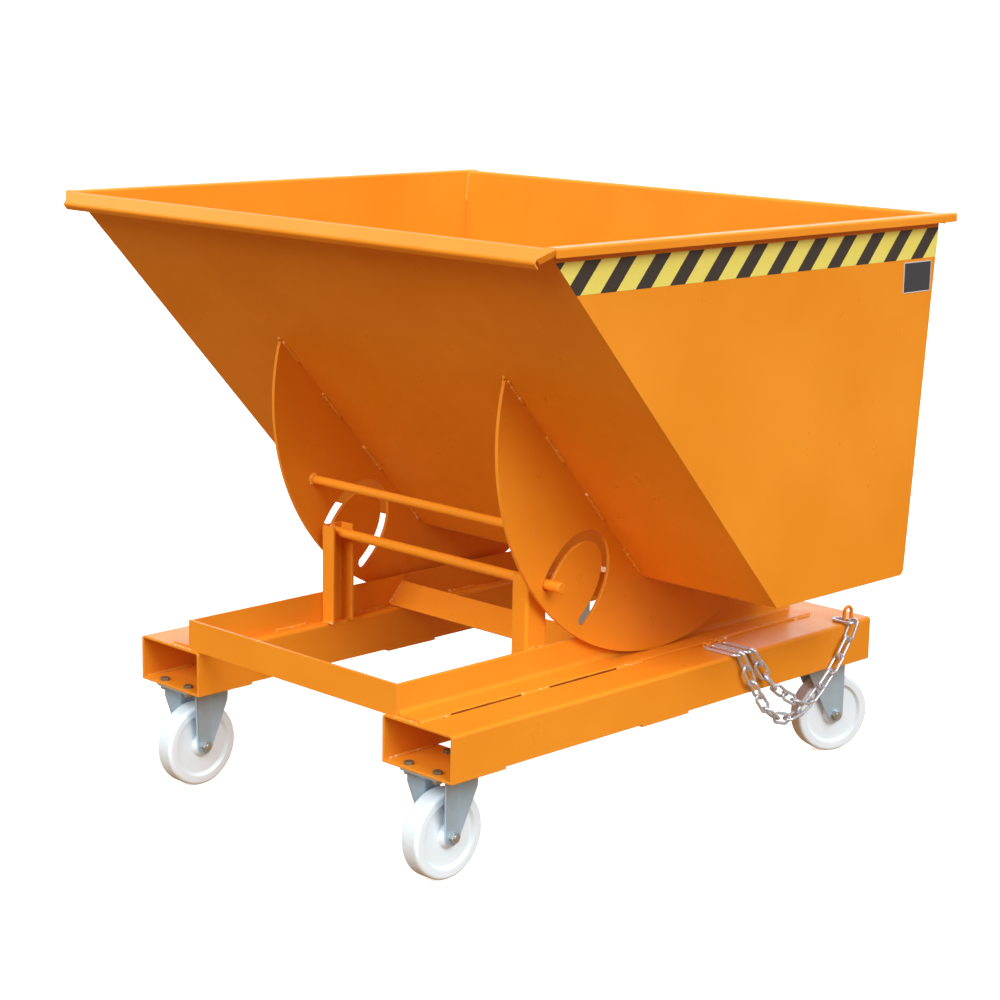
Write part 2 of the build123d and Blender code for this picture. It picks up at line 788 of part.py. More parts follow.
export_step(side_sheet_right.part, "parts/side_sheet_right.step")

with BuildPart() as side_sheet_left:
    mirror(side_sheet_right.part, about=Plane.YZ)
side_sheet_left.part.label = "side_sheet_left"
export_step(side_sheet_left.part, "parts/side_sheet_left.step")

# Pins on the roll centre, flush in the side sheets
with BuildPart() as roll_centre_pins:
    for name, side in sides:
        with BuildSketch(Plane.YZ.offset(side * side_in)) as pin_section:
            with Locations((roll_y, roll_z)):
                Circle(pin_r)
        extrude(amount=side * side_t)
roll_centre_pins.part.label = "roll_centre_pins"
export_step(roll_centre_pins.part, "parts/roll_centre_pins.step")

# Rockers with the curved slot for the guide axle
slot_half = axle_r + slot_gap
slot_from = radians(-slot_end_play)
slot_to = radians(tip_angle + slot_end_play)
slot_steps = [slot_from + (slot_to - slot_from) * step / 16 for step in range(17)]
far = 3 * rocker_r
for name, side in sides:
    with BuildPart() as rocker:
        with BuildSketch(Plane.YZ.offset(side * rocker_in)) as rocker_outline:
            with Locations((roll_y, roll_z)):
                Circle(rocker_r)
            with BuildLine():
                Polyline(
                    (floor_y, floor_z),
                    (floor_y - far * cos(slope), floor_z + far * sin(slope)),
                    (floor_y - far, floor_z - far),
                    (roll_y + rocker_tail, floor_z - far),
                    (roll_y + rocker_tail, floor_z),
                    close=True,
                )
            make_face(mode=Mode.INTERSECT)
            with BuildLine():
                Spline(*[slot_edge(angle, slot_half) for angle in slot_steps])
                ThreePointArc(
                    slot_edge(slot_to, slot_half), slot_end(slot_to, slot_half), slot_edge(slot_to, -slot_half)
                )
                Spline(*[slot_edge(angle, -slot_half) for angle in reversed(slot_steps)])
                ThreePointArc(
                    slot_edge(slot_from, -slot_half), slot_end(slot_from, -slot_half), slot_edge(slot_from, slot_half)
                )
            make_face(mode=Mode.SUBTRACT)
            with Locations((tie_rod_y, tie_rod_z)):
                Circle(tie_rod_r + thread_gap, mode=Mode.SUBTRACT)
        extrude(amount=side * rocker_t)
    rocker.part.label = "rocker_" + name
    export_step(rocker.part, "parts/rocker_" + name + ".step")

with BuildPart() as rocker_tie_rod:
    with BuildSketch(Plane.YZ) as tie_rod_section:
        with Locations((tie_rod_y, tie_rod_z)):
            Circle(tie_rod_r)
    extrude(amount=rocker_out, both=True)
rocker_tie_rod.part.label = "rocker_tie_rod"
export_step(rocker_tie_rod.part, "parts/rocker_tie_rod.step")

# Latch between the rear crossbar and the back of the tub, drawn released
latch_y = rear_bar_y + latch_pin_set
latch_z = roof_z + latch_pin_rise
lug_in = lever_t / 2 + latch_side_gap
catch_z = floor_z + catch_rise
catch_y = back_line(catch_z) + catch_reach
catch_in = lever_t / 2 + catch_side_gap
latch_axis = Plane(origin=(0, latch_y, latch_z), x_dir=(0, 1, 0), z_dir=(1, 0, 0))
with BuildPart() as latch_bracket:
    with BuildSketch(Plane.XY.offset(roof_z)) as latch_foot:
        with Locations((0, latch_y)):
            Rectangle(latch_base, latch_base)
    extrude(amount=latch_lug_t)
    for turn in (-1, 1):
        with BuildSketch(latch_axis.offset(turn * lug_in)) as lug_outline:
            Circle(lever_boss_r)
            with Locations((0, latch_lug_t - latch_pin_rise)):
                Rectangle(latch_base, 2)
            make_hull()
            Circle(latch_pin_r + thread_gap, mode=Mode.SUBTRACT)
        extrude(amount=turn * latch_lug_t)
latch_bracket.part.label = "latch_bracket"
export_step(latch_bracket.part, "parts/latch_bracket.step")

with BuildPart() as latch_pin:
    with BuildSketch(latch_axis) as latch_pin_section:
        Circle(latch_pin_r)
    extrude(amount=lug_in + latch_lug_t + screw_end, both=True)
latch_pin.part.label = "latch_pin"
export_step(latch_pin.part, "parts/latch_pin.step")

leaning = radians(lever_release)
lever_plane = Plane(
    origin=(-lever_t / 2, latch_y, latch_z),
    x_dir=(0, cos(leaning), -sin(leaning)),
    z_dir=(1, 0, 0),
)
hook = Vector(catch_y - latch_y, catch_z - latch_z)
with BuildPart() as latch_lever:
    with BuildSketch(lever_plane) as lever_outline:
        Circle(lever_boss_r)
        with Locations(hook):
            Circle(lever_hook_r)
        make_hull()
        with BuildSketch(lever_plane, mode=Mode.SUBTRACT) as hook_mouth:
            with Locations(hook, hook.rotate(Axis.Z, lever_release * 0.7)):
                Circle(catch_bar_r + catch_bar_gap)
            make_hull()
        Circle(latch_pin_r + running_gap, mode=Mode.SUBTRACT)
    extrude(amount=lever_t)
latch_lever.part.label = "latch_lever"
export_step(latch_lever.part, "parts/latch_lever.step")

with BuildPart() as latch_catch:
    for turn in (-1, 1):
        with BuildSketch(Plane.YZ.offset(turn * catch_in)) as ear_outline:
            with Locations((catch_y, catch_z)):
                Circle(catch_ear_r)
            with BuildLine():
                Line(
                    (back_line(catch_z - catch_foot / 2), catch_z - catch_foot / 2),
                    (back_line(catch_z + catch_foot / 2), catch_z + catch_foot / 2),
                )
            make_hull()
        extrude(amount=turn * catch_ear_t)
    with BuildSketch(Plane.YZ) as catch_bar_section:
        with Locations((catch_y, catch_z)):
            Circle(catch_bar_r)
    extrude(amount=catch_in + catch_ear_t, both=True)
latch_catch.part.label = "latch_catch"
export_step(latch_catch.part, "parts/latch_catch.step")

# Eye for the safety chain and the links that lie on the pocket
eye_half = eye_w / 2 - eye_rod_r
eye_bend_z = roof_z + eye_h - eye_w / 2
with BuildPart() as chain_eye:
    with BuildLine(Plane.YZ.offset(anchor_x)) as eye_path:
        Line((eye_y - eye_half, roof_z), (eye_y - eye_half, eye_bend_z))
        ThreePointArc(
            (eye_y - eye_half, eye_bend_z),
            (eye_y, eye_bend_z + eye_half),
            (eye_y + eye_half, eye_bend_z),
        )
        Line((eye_y + eye_half, eye_bend_z), (eye_y + eye_half, roof_z))
    with BuildSketch(Plane(origin=(anchor_x, eye_y - eye_half, roof_z), z_dir=(0, 0, 1))) as eye_section:
        Circle(eye_rod_r)
    sweep()
chain_eye.part.label = "chain_eye"
export_step(chain_eye.part, "parts/chain_eye.step")

across_y = (0, 1, 0)
lying_links = [
    link_path((anchor_x, eye_leg_y, flat_link_z), (1, 0, 0), across_y, link_pitch + link_play, end_link_w),
    link_path((end_link_x, main_link_y, flat_link_z), (1, 0, 0), across_y, end_link_l, end_link_w),
    link_path((end_link_x, tail_link_y, flat_link_z), (1, 0, 0), across_y, end_link_l, end_link_w),
]
with BuildPart() as chain_end_links:
    for path in lying_links:
        with BuildSketch(Plane(origin=path @ 0, z_dir=path % 0)) as end_wire:
            Circle(wire_r)
        sweep(path=path)
chain_end_links.part.label = "chain_end_links"
export_step(chain_end_links.part, "parts/chain_end_links.step")

keeper_x = end_link_x - end_link_l / 2 - wire_r
keeper_half = wire_r + keeper_gap
with BuildPart() as chain_keepers:
    for y in (main_link_y, tail_link_y):
        with BuildSketch(Plane.XZ.offset(keeper_w / 2 - y)) as keeper_section:
            with BuildLine():
                FilletPolyline(
                    (keeper_x - keeper_half, roof_z),
                    (keeper_x - keeper_half, flat_link_z + keeper_half),
                    (keeper_x + keeper_half, flat_link_z + keeper_half),
                    (keeper_x + keeper_half, roof_z),
                    radius=keeper_half / 2,
                )
                offset(amount=keeper_t, side=Side.LEFT)
            make_face()
        extrude(amount=-keeper_w)
chain_keepers.part.label = "chain_keepers"
export_step(chain_keepers.part, "parts/chain_keepers.step")

hanging_links = chain_run(chain_x, main_start, main_headings, main_twist)
hanging_links += chain_run(chain_x, tail_start, tail_headings, tail_twist)
with BuildPart() as safety_chain:
    for path in hanging_links:
        with BuildSketch(Plane(origin=path @ 0, z_dir=path % 0)) as link_wire:
            Circle(wire_r)
        sweep(path=path)
safety_chain.part.label = "safety_chain"
export_step(safety_chain.part, "parts/safety_chain.step")

# Hazard tape under the side rims and the bare type plate
tape_top_z = tub_top_z - tape_top_gap
tape_low_z = tape_top_z - tape_h
for name, side in sides:
    with BuildPart() as tape:
        with BuildSketch(Plane.YZ.offset(side * side_out)) as tape_outline:
            with BuildLine():
                Polyline(
                    (slope_line(tape_low_z), tape_low_z),
                    (back_line(tape_low_z), tape_low_z),
                    (back_line(tape_top_z), tape_top_z),
                    (slope_line(tape_top_z), tape_top_z),
                    close=True,
                )
            make_face()
        extrude(amount=side * tape_t)
    tape.part.label = "hazard_tape_" + name
    export_step(tape.part, "parts/hazard_tape_" + name + ".step")

plate_low_z = tape_low_z - plate_tape_gap - plate_h
plate_y = back_line(plate_low_z) - plate_rear_gap - plate_w / 2
with BuildPart() as type_plate:
    with BuildSketch(Plane.YZ.offset(side_out)) as type_plate_outline:
        with Locations((plate_y, plate_low_z + plate_h / 2)):
            RectangleRounded(plate_w, plate_h, plate_t * 3)
    extrude(amount=plate_t)
type_plate.part.label = "type_plate"
export_step(type_plate.part, "parts/type_plate.step")
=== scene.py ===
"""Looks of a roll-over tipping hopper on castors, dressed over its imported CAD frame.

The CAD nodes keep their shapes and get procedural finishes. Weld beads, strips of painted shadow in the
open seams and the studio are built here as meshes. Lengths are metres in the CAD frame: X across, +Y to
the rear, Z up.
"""

from __future__ import annotations

import logging
import math
import random
from collections.abc import Iterable, Mapping
from dataclasses import dataclass, field
from enum import Enum

import bmesh
import bpy
from mathutils import Matrix, Vector


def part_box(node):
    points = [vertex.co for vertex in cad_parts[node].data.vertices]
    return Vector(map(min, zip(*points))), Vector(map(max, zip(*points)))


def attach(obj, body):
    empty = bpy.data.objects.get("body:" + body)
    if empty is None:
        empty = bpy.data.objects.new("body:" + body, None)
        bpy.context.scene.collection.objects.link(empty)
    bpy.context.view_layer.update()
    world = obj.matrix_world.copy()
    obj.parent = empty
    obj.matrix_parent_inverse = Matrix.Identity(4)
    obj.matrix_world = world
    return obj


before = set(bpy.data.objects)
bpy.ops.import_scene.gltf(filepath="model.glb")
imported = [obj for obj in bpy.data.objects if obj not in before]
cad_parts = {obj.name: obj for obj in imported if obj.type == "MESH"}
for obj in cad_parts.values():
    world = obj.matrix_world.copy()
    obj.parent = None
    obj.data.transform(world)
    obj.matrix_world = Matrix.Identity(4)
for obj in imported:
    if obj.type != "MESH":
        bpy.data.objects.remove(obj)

MM = 0.001
log = logging.getLogger("tipping_hopper")

Socket = bpy.types.NodeSocket
Tree = bpy.types.NodeTree
Box = tuple[Vector, Vector]
Span = tuple[float, float]
Station = tuple[Vector, Vector, Vector]

UP = Vector((0, 0, 1))
DOWN = Vector((0, 0, -1))
AHEAD = Vector((0, -1, 0))
ASTERN = Vector((0, 1, 0))

# Tub: angle of the slope, lean of the back, front edge of the floor behind the front of the pockets.
SLOPE = math.radians(47.6)
BACK_LEAN = math.radians(4.6)
FLOOR_FRONT = 692 * MM

# All values of a noise texture, and the range that most of them lie in.
FULL_SPAN = (0.0, 1.0)
NOISE_SPAN = (0.3, 0.7)


class Side(Enum):
    """The two sides of the hopper, as the sign of X."""

    LEFT = -1
    RIGHT = 1

    @property
    def tag(self) -> str:
        """Ending of the node names on this side."""
        return self.name.lower()

    @property
    def out(self) -> Vector:
        """Unit direction away from the middle of the hopper."""
        return Vector((self.value, 0, 0))

    def outer(self, box: Box) -> float:
        """X of the face of a box that looks away from the middle."""
        return box[1].x if self is Side.RIGHT else box[0].x

    def inner(self, box: Box) -> float:
        """X of the face of a box that looks to the middle."""
        return box[0].x if self is Side.RIGHT else box[1].x


def linear(colour: str) -> tuple[float, float, float, float]:
    """Turns an sRGB hex colour to linear light.

    Args:
        colour: Hex colour such as "#e07a10".

    Returns:
        Linear red, green, blue and an alpha of one.
    """
    parts = [int(colour[place : place + 2], 16) / 255 for place in (1, 3, 5)]
    red, green, blue = [p / 12.92 if p <= 0.04045 else ((p + 0.055) / 1.055) ** 2.4 for p in parts]
    return red, green, blue, 1.0


def per_metre(size_mm: float) -> float:
    """Scale of a texture whose features are this many millimetres across."""
    return 1.0 / (size_mm * MM)


def add_node(tree: Tree, kind: str, inputs: Mapping | None = None, **settings: object) -> bpy.types.Node:
    """Adds one shader node with its settings, values and links.

    Args:
        tree: Node tree that gets the node.
        kind: Blender's type name of the node.
        inputs: Socket name or number to a constant or to the socket that feeds it.
        **settings: Properties of the node itself.

    Returns:
        The new node.
    """
    made = tree.nodes.new(kind)
    for key, value in settings.items():
        setattr(made, key, value)
    for key, value in (inputs or {}).items():
        if isinstance(value, Socket):
            tree.links.new(value, made.inputs[key])
        else:
            made.inputs[key].default_value = value
    return made


@dataclass(frozen=True)
class Finish:
    """A surface finish, made once as a node material.

    Attributes:
        name: Name of the material, after what it is and how it was made.
        slot: Material slot of the record that it stands for, empty for the studio; not used.
    """

    name: str
    slot: str

    def material(self) -> bpy.types.Material:
        """Finds the material, building its nodes at the first call.

        Returns:
            The material.
        """
        made = bpy.data.materials.get(self.name)
        if made is None:
            made = bpy.data.materials.new(self.name)
            made.use_nodes = True
            tree = made.node_tree
            tree.nodes.clear()
            surface = self.shade(tree)
            add_node(tree, "ShaderNodeOutputMaterial", {"Surface": surface})
        return made

    def shade(self, tree: Tree) -> Socket:
        """Builds the shader and returns its output."""
        raise NotImplementedError

    def find_edges(self, tree: Tree, radius: float, wear: Span) -> tuple[Socket, Socket]:
        """Rounds the edges in the shading and finds where they are.

        Args:
            tree: Node tree of the material.
            radius: Radius of the rounding.
            wear: Cosine of the turn at which an edge shows most, and how much it then shows.

        Returns:
            The rounded normal and the share of the edge colour.
        """
        first_sign = 0.985
        rounded = add_node(tree, "ShaderNodeBevel", {"Radius": radius}, samples=6)
        shape = add_node(tree, "ShaderNodeNewGeometry")
        facing = add_node(
            tree,
            "ShaderNodeVectorMath",
            {0: rounded.outputs["Normal"], 1: shape.outputs["Normal"]},
            operation="DOT_PRODUCT",
        )
        edge = add_node(
            tree,
            "ShaderNodeMapRange",
            {
                "Value": facing.outputs["Value"],
                "From Min": first_sign,
                "From Max": wear[0],
                "To Max": wear[1],
            },
        )
        return rounded.outputs["Normal"], edge.outputs["Result"]

    def mottle(
        self, tree: Tree, place: Socket, size_mm: float, detail: float, colours: tuple[str, str]
    ) -> tuple[Socket, Socket]:
        """Mixes two colours in soft spots.

        Args:
            tree: Node tree of the material.
            place: Place on the surface.
            size_mm: Size of the spots.
            detail: How often the spots are broken up finer.
            colours: The two colours.

        Returns:
            The mixed colour and the noise that mixes it.
        """
        spots = add_node(
            tree, "ShaderNodeTexNoise", {"Vector": place, "Scale": per_metre(size_mm), "Detail": detail}
        )
        mixed = add_node(
            tree,
            "ShaderNodeMix",
            {"Factor": spots.outputs["Fac"], 6: linear(colours[0]), 7: linear(colours[1])},
            data_type="RGBA",
        )
        return mixed.outputs[2], spots.outputs["Fac"]

    def close(
        self,
        tree: Tree,
        inputs: Mapping,
        gloss: tuple[Socket, Span, Span],
        relief: tuple[Socket, Span],
        normal: Socket | None = None,
    ) -> Socket:
        """Ends a finish with uneven gloss, a fine relief and the shader.

        Args:
            tree: Node tree of the material.
            inputs: Values of the shader that the finish sets itself.
            gloss: Noise that spreads the roughness, its range and the roughness at both ends.
            relief: Height of the relief, with its strength and its size.
            normal: Normal under the relief, if it isn't the shape's own.

        Returns:
            The shader output.
        """
        noise, (low, high), (sleek, dull) = gloss
        height, (strength, size) = relief
        rough = add_node(
            tree,
            "ShaderNodeMapRange",
            {"Value": noise, "From Min": low, "From Max": high, "To Min": sleek, "To Max": dull},
        )
        under = {"Normal": normal} if normal else {}
        bumped = add_node(
            tree, "ShaderNodeBump", {"Strength": strength, "Distance": size, "Height": height, **under}
        )
        shader = add_node(
            tree,
            "ShaderNodeBsdfPrincipled",
            {**inputs, "Roughness": rough.outputs["Result"], "Normal": bumped.outputs["Normal"]},
        )
        return shader.outputs["BSDF"]


@dataclass(frozen=True)
class SprayedEnamel(Finish):
    """Gloss enamel sprayed on mild steel sheet.

    The eye gets an even colour with a slow drift of coat thickness, soft wide reflections broken
    by orange peel and by the slight waves of the sheet, and a paler line where the coat thins on edges.

    Attributes:
        colour: Colour of the usual coat.
        thin_coat: Colour on edges.
        thick_coat: Colour where the coat is thick.
        drift_mm: Distance over which the coat's thickness drifts.
        drift: Noise values between which the coat goes from thick to usual.
        wave_mm: Width of the waves in the sheet.
        wave: Strength and height of the waves.
        peel_mm: Width of the orange peel.
        peel: Strength and height of the orange peel.
        patch_mm: Width of a patch of even gloss.
        gloss: Least and greatest roughness.
        sheen: Strength of the reflections.
        edge_mm: Rounding of the edges.
        edge_wear: Where an edge shows most, and how much.
        speck_mm: Size of the pale specks of painted glint over a weld, zero for none.
        speck: Colour of the specks, a painted highlight.
        speck_share: Noise values between which a speck of painted glint shows.
    """

    colour: str = "#f49728"
    thin_coat: str = "#f8b25c"
    thick_coat: str = "#ee8f20"
    drift_mm: float = 340.0
    drift: Span = (0.35, 0.65)
    wave_mm: float = 160.0
    wave: Span = (0.25, 0.004)
    # Real orange peel is about 1 mm across, drawn coarser so that it shows at the picture's scale.
    peel_mm: float = 3.5
    peel: Span = (0.12, 0.0003)
    patch_mm: float = 70.0
    gloss: Span = (0.27, 0.40)
    sheen: float = 0.28
    edge_mm: float = 1.4
    edge_wear: Span = (0.86, 0.75)
    speck_mm: float = 0.0
    speck: str = "#ffdcb8"
    speck_share: Span = (0.60, 0.68)

    def shade(self, tree: Tree) -> Socket:
        """Builds the enamel.

        Args:
            tree: Node tree of the material.

        Returns:
            The shader output.
        """
        place = add_node(tree, "ShaderNodeTexCoord").outputs["Object"]
        normal, edge = self.find_edges(tree, self.edge_mm * MM, self.edge_wear)
        painted = self.spray(tree, place, edge)
        # Pale specks over a weld paint its glints: a painted highlight.
        if self.speck_mm:
            painted = self.show_specks(tree, place, painted)
        patch, wave, peel = (
            add_node(tree, "ShaderNodeTexNoise", {"Vector": place, "Scale": per_metre(size), "Detail": fine})
            for size, fine in ((self.patch_mm, 4.0), (self.wave_mm, 1.0), (self.peel_mm, 2.0))
        )
        strength, height = self.wave
        waved = add_node(
            tree,
            "ShaderNodeBump",
            {"Strength": strength, "Distance": height, "Height": wave.outputs["Fac"], "Normal": normal},
        )
        return self.close(
            tree,
            {"Base Color": painted, "IOR": 1.5, "Specular IOR Level": self.sheen},
            (patch.outputs["Fac"], NOISE_SPAN, self.gloss),
            (peel.outputs["Fac"], self.peel),
            waved.outputs["Normal"],
        )

    def spray(self, tree: Tree, place: Socket, edge: Socket) -> Socket:
        """Mixes the coat from thick, usual and thin paint.

        Args:
            tree: Node tree of the material.
            place: Place on the surface.
            edge: Share of thin paint.

        Returns:
            The colour of the coat.
        """
        drift = add_node(
            tree, "ShaderNodeTexNoise", {"Vector": place, "Scale": per_metre(self.drift_mm), "Detail": 3.0}
        )
        level = add_node(
            tree,
            "ShaderNodeMapRange",
            {"Value": drift.outputs["Fac"], "From Min": self.drift[0], "From Max": self.drift[1]},
        )
        coat = add_node(
            tree,
            "ShaderNodeMix",
            {"Factor": level.outputs["Result"], 6: linear(self.thick_coat), 7: linear(self.colour)},
            data_type="RGBA",
        )
        painted = add_node(
            tree,
            "ShaderNodeMix",
            {"Factor": edge, 6: coat.outputs[2], 7: linear(self.thin_coat)},
            data_type="RGBA",
        )
        return painted.outputs[2]

    def show_specks(self, tree: Tree, place: Socket, coat: Socket) -> Socket:
        """Adds pale specks that paint the glints of a glossy weld as colour: a painted highlight.

        Args:
            tree: Node tree of the material.
            place: Place on the surface.
            coat: Colour of the coat.

        Returns:
            The colour of the coat with its specks of painted highlight.
        """
        glint_noise = add_node(
            tree, "ShaderNodeTexNoise", {"Vector": place, "Scale": per_metre(self.speck_mm), "Detail": 3.0}
        )
        shown = add_node(
            tree,
            "ShaderNodeMapRange",
            {
                "Value": glint_noise.outputs["Fac"],
                "From Min": self.speck_share[0],
                "From Max": self.speck_share[1],
            },
        )
        specked = add_node(
            tree,
            "ShaderNodeMix",
            {"Factor": shown.outputs["Result"], 6: coat, 7: linear(self.speck)},
            data_type="RGBA",
        )
        return specked.outputs[2]


@dataclass(frozen=True)
class ZincPlate(Finish):
    """Steel plated with zinc and passivated.

    The eye gets a cool satin grey, cloudy where the passivation is uneven, with finer grain from the
    pressed sheet and brighter edges.

    Attributes:
        colour: Colour of the plating.
        cloud: Colour of the clouds in it.
        bright: Colour of the edges.
        cloud_mm: Size of the clouds.
        grain_mm: Size of the grain.
        grain: Strength and height of the grain.
        satin: Least and greatest roughness.
        metal: How much the plating looks like bare metal.
        edge_mm: Rounding of the edges.
        edge_wear: Where an edge shows most, and how much.
    """

    colour: str = "#c6dcec"
    cloud: str = "#b0c9da"
    bright: str = "#e8f1f8"
    cloud_mm: float = 22.0
    grain_mm: float = 2.2
    grain: Span = (0.15, 0.0002)
    satin: Span = (0.40, 0.56)
    metal: float = 0.75
    edge_mm: float = 0.7
    edge_wear: Span = (0.85, 0.8)

    def shade(self, tree: Tree) -> Socket:
        """Builds the plating.

        Args:
            tree: Node tree of the material.

        Returns:
            The shader output.
        """
        place = add_node(tree, "ShaderNodeTexCoord").outputs["Object"]
        clouded, _ = self.mottle(tree, place, self.cloud_mm, 4.0, (self.colour, self.cloud))
        normal, edge = self.find_edges(tree, self.edge_mm * MM, self.edge_wear)
        plated = add_node(
            tree,
            "ShaderNodeMix",
            {"Factor": edge, 6: clouded, 7: linear(self.bright)},
            data_type="RGBA",
        )
        grain = add_node(
            tree, "ShaderNodeTexNoise", {"Vector": place, "Scale": per_metre(self.grain_mm), "Detail": 3.0}
        )
        return self.close(
            tree,
            {"Base Color": plated.outputs[2], "Metallic": self.metal},
            (grain.outputs["Fac"], NOISE_SPAN, self.satin),
            (grain.outputs["Fac"], self.grain),
            normal,
        )


@dataclass(frozen=True)
class CastNylon(Finish):
    """Cast polyamide wheel, turned to size.

    The eye gets a milky white with a faint cold tint, soft light from within, rings of the turning tool
    on the faces and a greyer band where the tread has run on the floor.

    Attributes:
        centre: Centre of the wheel.
        axis: Direction of its axle.
        tread_r: Radius of the tread.
        tread_depth: Depth to which the tread is soiled.
        colour: Colour of clean nylon.
        soiled: Colour of the worn tread.
        soil: Most of that colour on the tread.
        speck_mm: Size of the uneven spots.
        ring_mm: Distance between two rings of the tool.
        ring: Strength and height of the rings.
        satin: Least and greatest roughness.
        milk: Share of light that goes through the skin.
        milk_depth: Depth that it reaches.
    """

    centre: tuple[float, float, float] = (0.0, 0.0, 0.0)
    axis: tuple[float, float, float] = (1.0, 0.0, 0.0)
    tread_r: float = 0.09
    tread_depth: float = 0.003
    colour: str = "#eef8ff"
    soiled: str = "#dadfe3"
    soil: float = 0.7
    speck_mm: float = 9.0
    ring_mm: float = 2.4
    ring: Span = (0.12, 0.0003)
    satin: Span = (0.34, 0.52)
    milk: float = 0.25
    milk_depth: float = 0.003

    def shade(self, tree: Tree) -> Socket:
        """Builds the nylon, with rings about the wheel's own axle.

        Args:
            tree: Node tree of the material.

        Returns:
            The shader output.
        """
        place = add_node(tree, "ShaderNodeTexCoord").outputs["Object"]
        radius = self.radius(tree, place)
        speck = add_node(
            tree, "ShaderNodeTexNoise", {"Vector": place, "Scale": per_metre(self.speck_mm), "Detail": 5.0}
        )
        worn = add_node(
            tree,
            "ShaderNodeMapRange",
            {
                "Value": radius,
                "From Min": self.tread_r - self.tread_depth,
                "From Max": self.tread_r,
                "To Max": self.soil,
            },
        )
        dirt = add_node(
            tree,
            "ShaderNodeMath",
            {0: worn.outputs["Result"], 1: speck.outputs["Fac"]},
            operation="MULTIPLY",
        )
        tint = add_node(
            tree,
            "ShaderNodeMix",
            {"Factor": dirt.outputs[0], 6: linear(self.colour), 7: linear(self.soiled)},
            data_type="RGBA",
        )
        turned = add_node(
            tree,
            "ShaderNodeMath",
            {0: radius, 1: 2 * math.pi / (self.ring_mm * MM)},
            operation="MULTIPLY",
        )
        rings = add_node(tree, "ShaderNodeMath", {0: turned.outputs[0]}, operation="SINE")
        return self.close(
            tree,
            {
                "Base Color": tint.outputs[2],
                "IOR": 1.53,
                "Subsurface Weight": self.milk,
                "Subsurface Radius": (1.0, 1.0, 1.0),
                "Subsurface Scale": self.milk_depth,
            },
            (speck.outputs["Fac"], FULL_SPAN, self.satin),
            (rings.outputs[0], self.ring),
        )

    def radius(self, tree: Tree, place: Socket) -> Socket:
        """Measures how far the surface is from the wheel's axle.

        Args:
            tree: Node tree of the material.
            place: Place on the surface.

        Returns:
            The distance.
        """
        spoke = add_node(tree, "ShaderNodeVectorMath", {0: place, 1: self.centre}, operation="SUBTRACT")
        along = add_node(
            tree, "ShaderNodeVectorMath", {0: spoke.outputs[0], 1: self.axis}, operation="PROJECT"
        )
        flat = add_node(
            tree, "ShaderNodeVectorMath", {0: spoke.outputs[0], 1: along.outputs[0]}, operation="SUBTRACT"
        )
        size = add_node(tree, "ShaderNodeVectorMath", {0: flat.outputs[0]}, operation="LENGTH")
        return size.outputs["Value"]


@dataclass(frozen=True)
class HazardVinyl(Finish):
    """Printed self-adhesive vinyl tape.

    The eye gets flat yellow and soft black bands with a clean slanted edge, a satin film that follows
    the sheet, and a fine grain of the printed film.

    Attributes:
        yellow: Colour of the ground.
        faded: Colour of the ground where the sun has bleached it.
        black: Colour of the bands.
        period: Distance from band to band.
        band: Width of a band along the tape.
        lean: Run of a band along the tape for its rise.
        first: Front end of the first band on the tape's lower edge.
        low_z: Height of the lower edge.
        film_mm: Size of the film's grain.
        film: Strength and height of the grain.
        fade_mm: Size of the bleached spots.
        satin: Least and greatest roughness.
    """

    yellow: str = "#ecdc60"
    faded: str = "#f2e478"
    black: str = "#3a3632"
    period: float = 0.0952
    band: float = 0.0430
    lean: float = 51.5 / 58.5
    first: float = 0.0
    low_z: float = 0.0
    film_mm: float = 1.6
    film: Span = (0.08, 0.0001)
    fade_mm: float = 45.0
    satin: Span = (0.32, 0.48)

    def shade(self, tree: Tree) -> Socket:
        """Builds the tape.

        Args:
            tree: Node tree of the material.

        Returns:
            The shader output.
        """
        place = add_node(tree, "ShaderNodeTexCoord").outputs["Object"]
        film = add_node(
            tree, "ShaderNodeTexNoise", {"Vector": place, "Scale": per_metre(self.film_mm), "Detail": 2.0}
        )
        sunned, fade = self.mottle(tree, place, self.fade_mm, 3.0, (self.yellow, self.faded))
        printed = add_node(
            tree,
            "ShaderNodeMix",
            {"Factor": self.bands(tree, place), 6: sunned, 7: linear(self.black)},
            data_type="RGBA",
        )
        return self.close(
            tree,
            {"Base Color": printed.outputs[2], "IOR": 1.52},
            (fade, FULL_SPAN, self.satin),
            (film.outputs["Fac"], self.film),
        )

    def bands(self, tree: Tree, place: Socket) -> Socket:
        """Finds the slanted bands.

        Args:
            tree: Node tree of the material.
            place: Place on the surface.

        Returns:
            One on a band, zero beside it.
        """
        axes = add_node(tree, "ShaderNodeSeparateXYZ", {0: place})
        shift = add_node(
            tree,
            "ShaderNodeMath",
            {0: axes.outputs["Z"], 1: -self.lean, 2: self.low_z * self.lean - self.first},
            operation="MULTIPLY_ADD",
        )
        run = add_node(tree, "ShaderNodeMath", {0: axes.outputs["Y"], 1: shift.outputs[0]}, operation="ADD")
        step = add_node(
            tree, "ShaderNodeMath", {0: run.outputs[0], 1: self.period}, operation="FLOORED_MODULO"
        )
        dark = add_node(tree, "ShaderNodeMath", {0: step.outputs[0], 1: self.band}, operation="LESS_THAN")
        return dark.outputs[0]


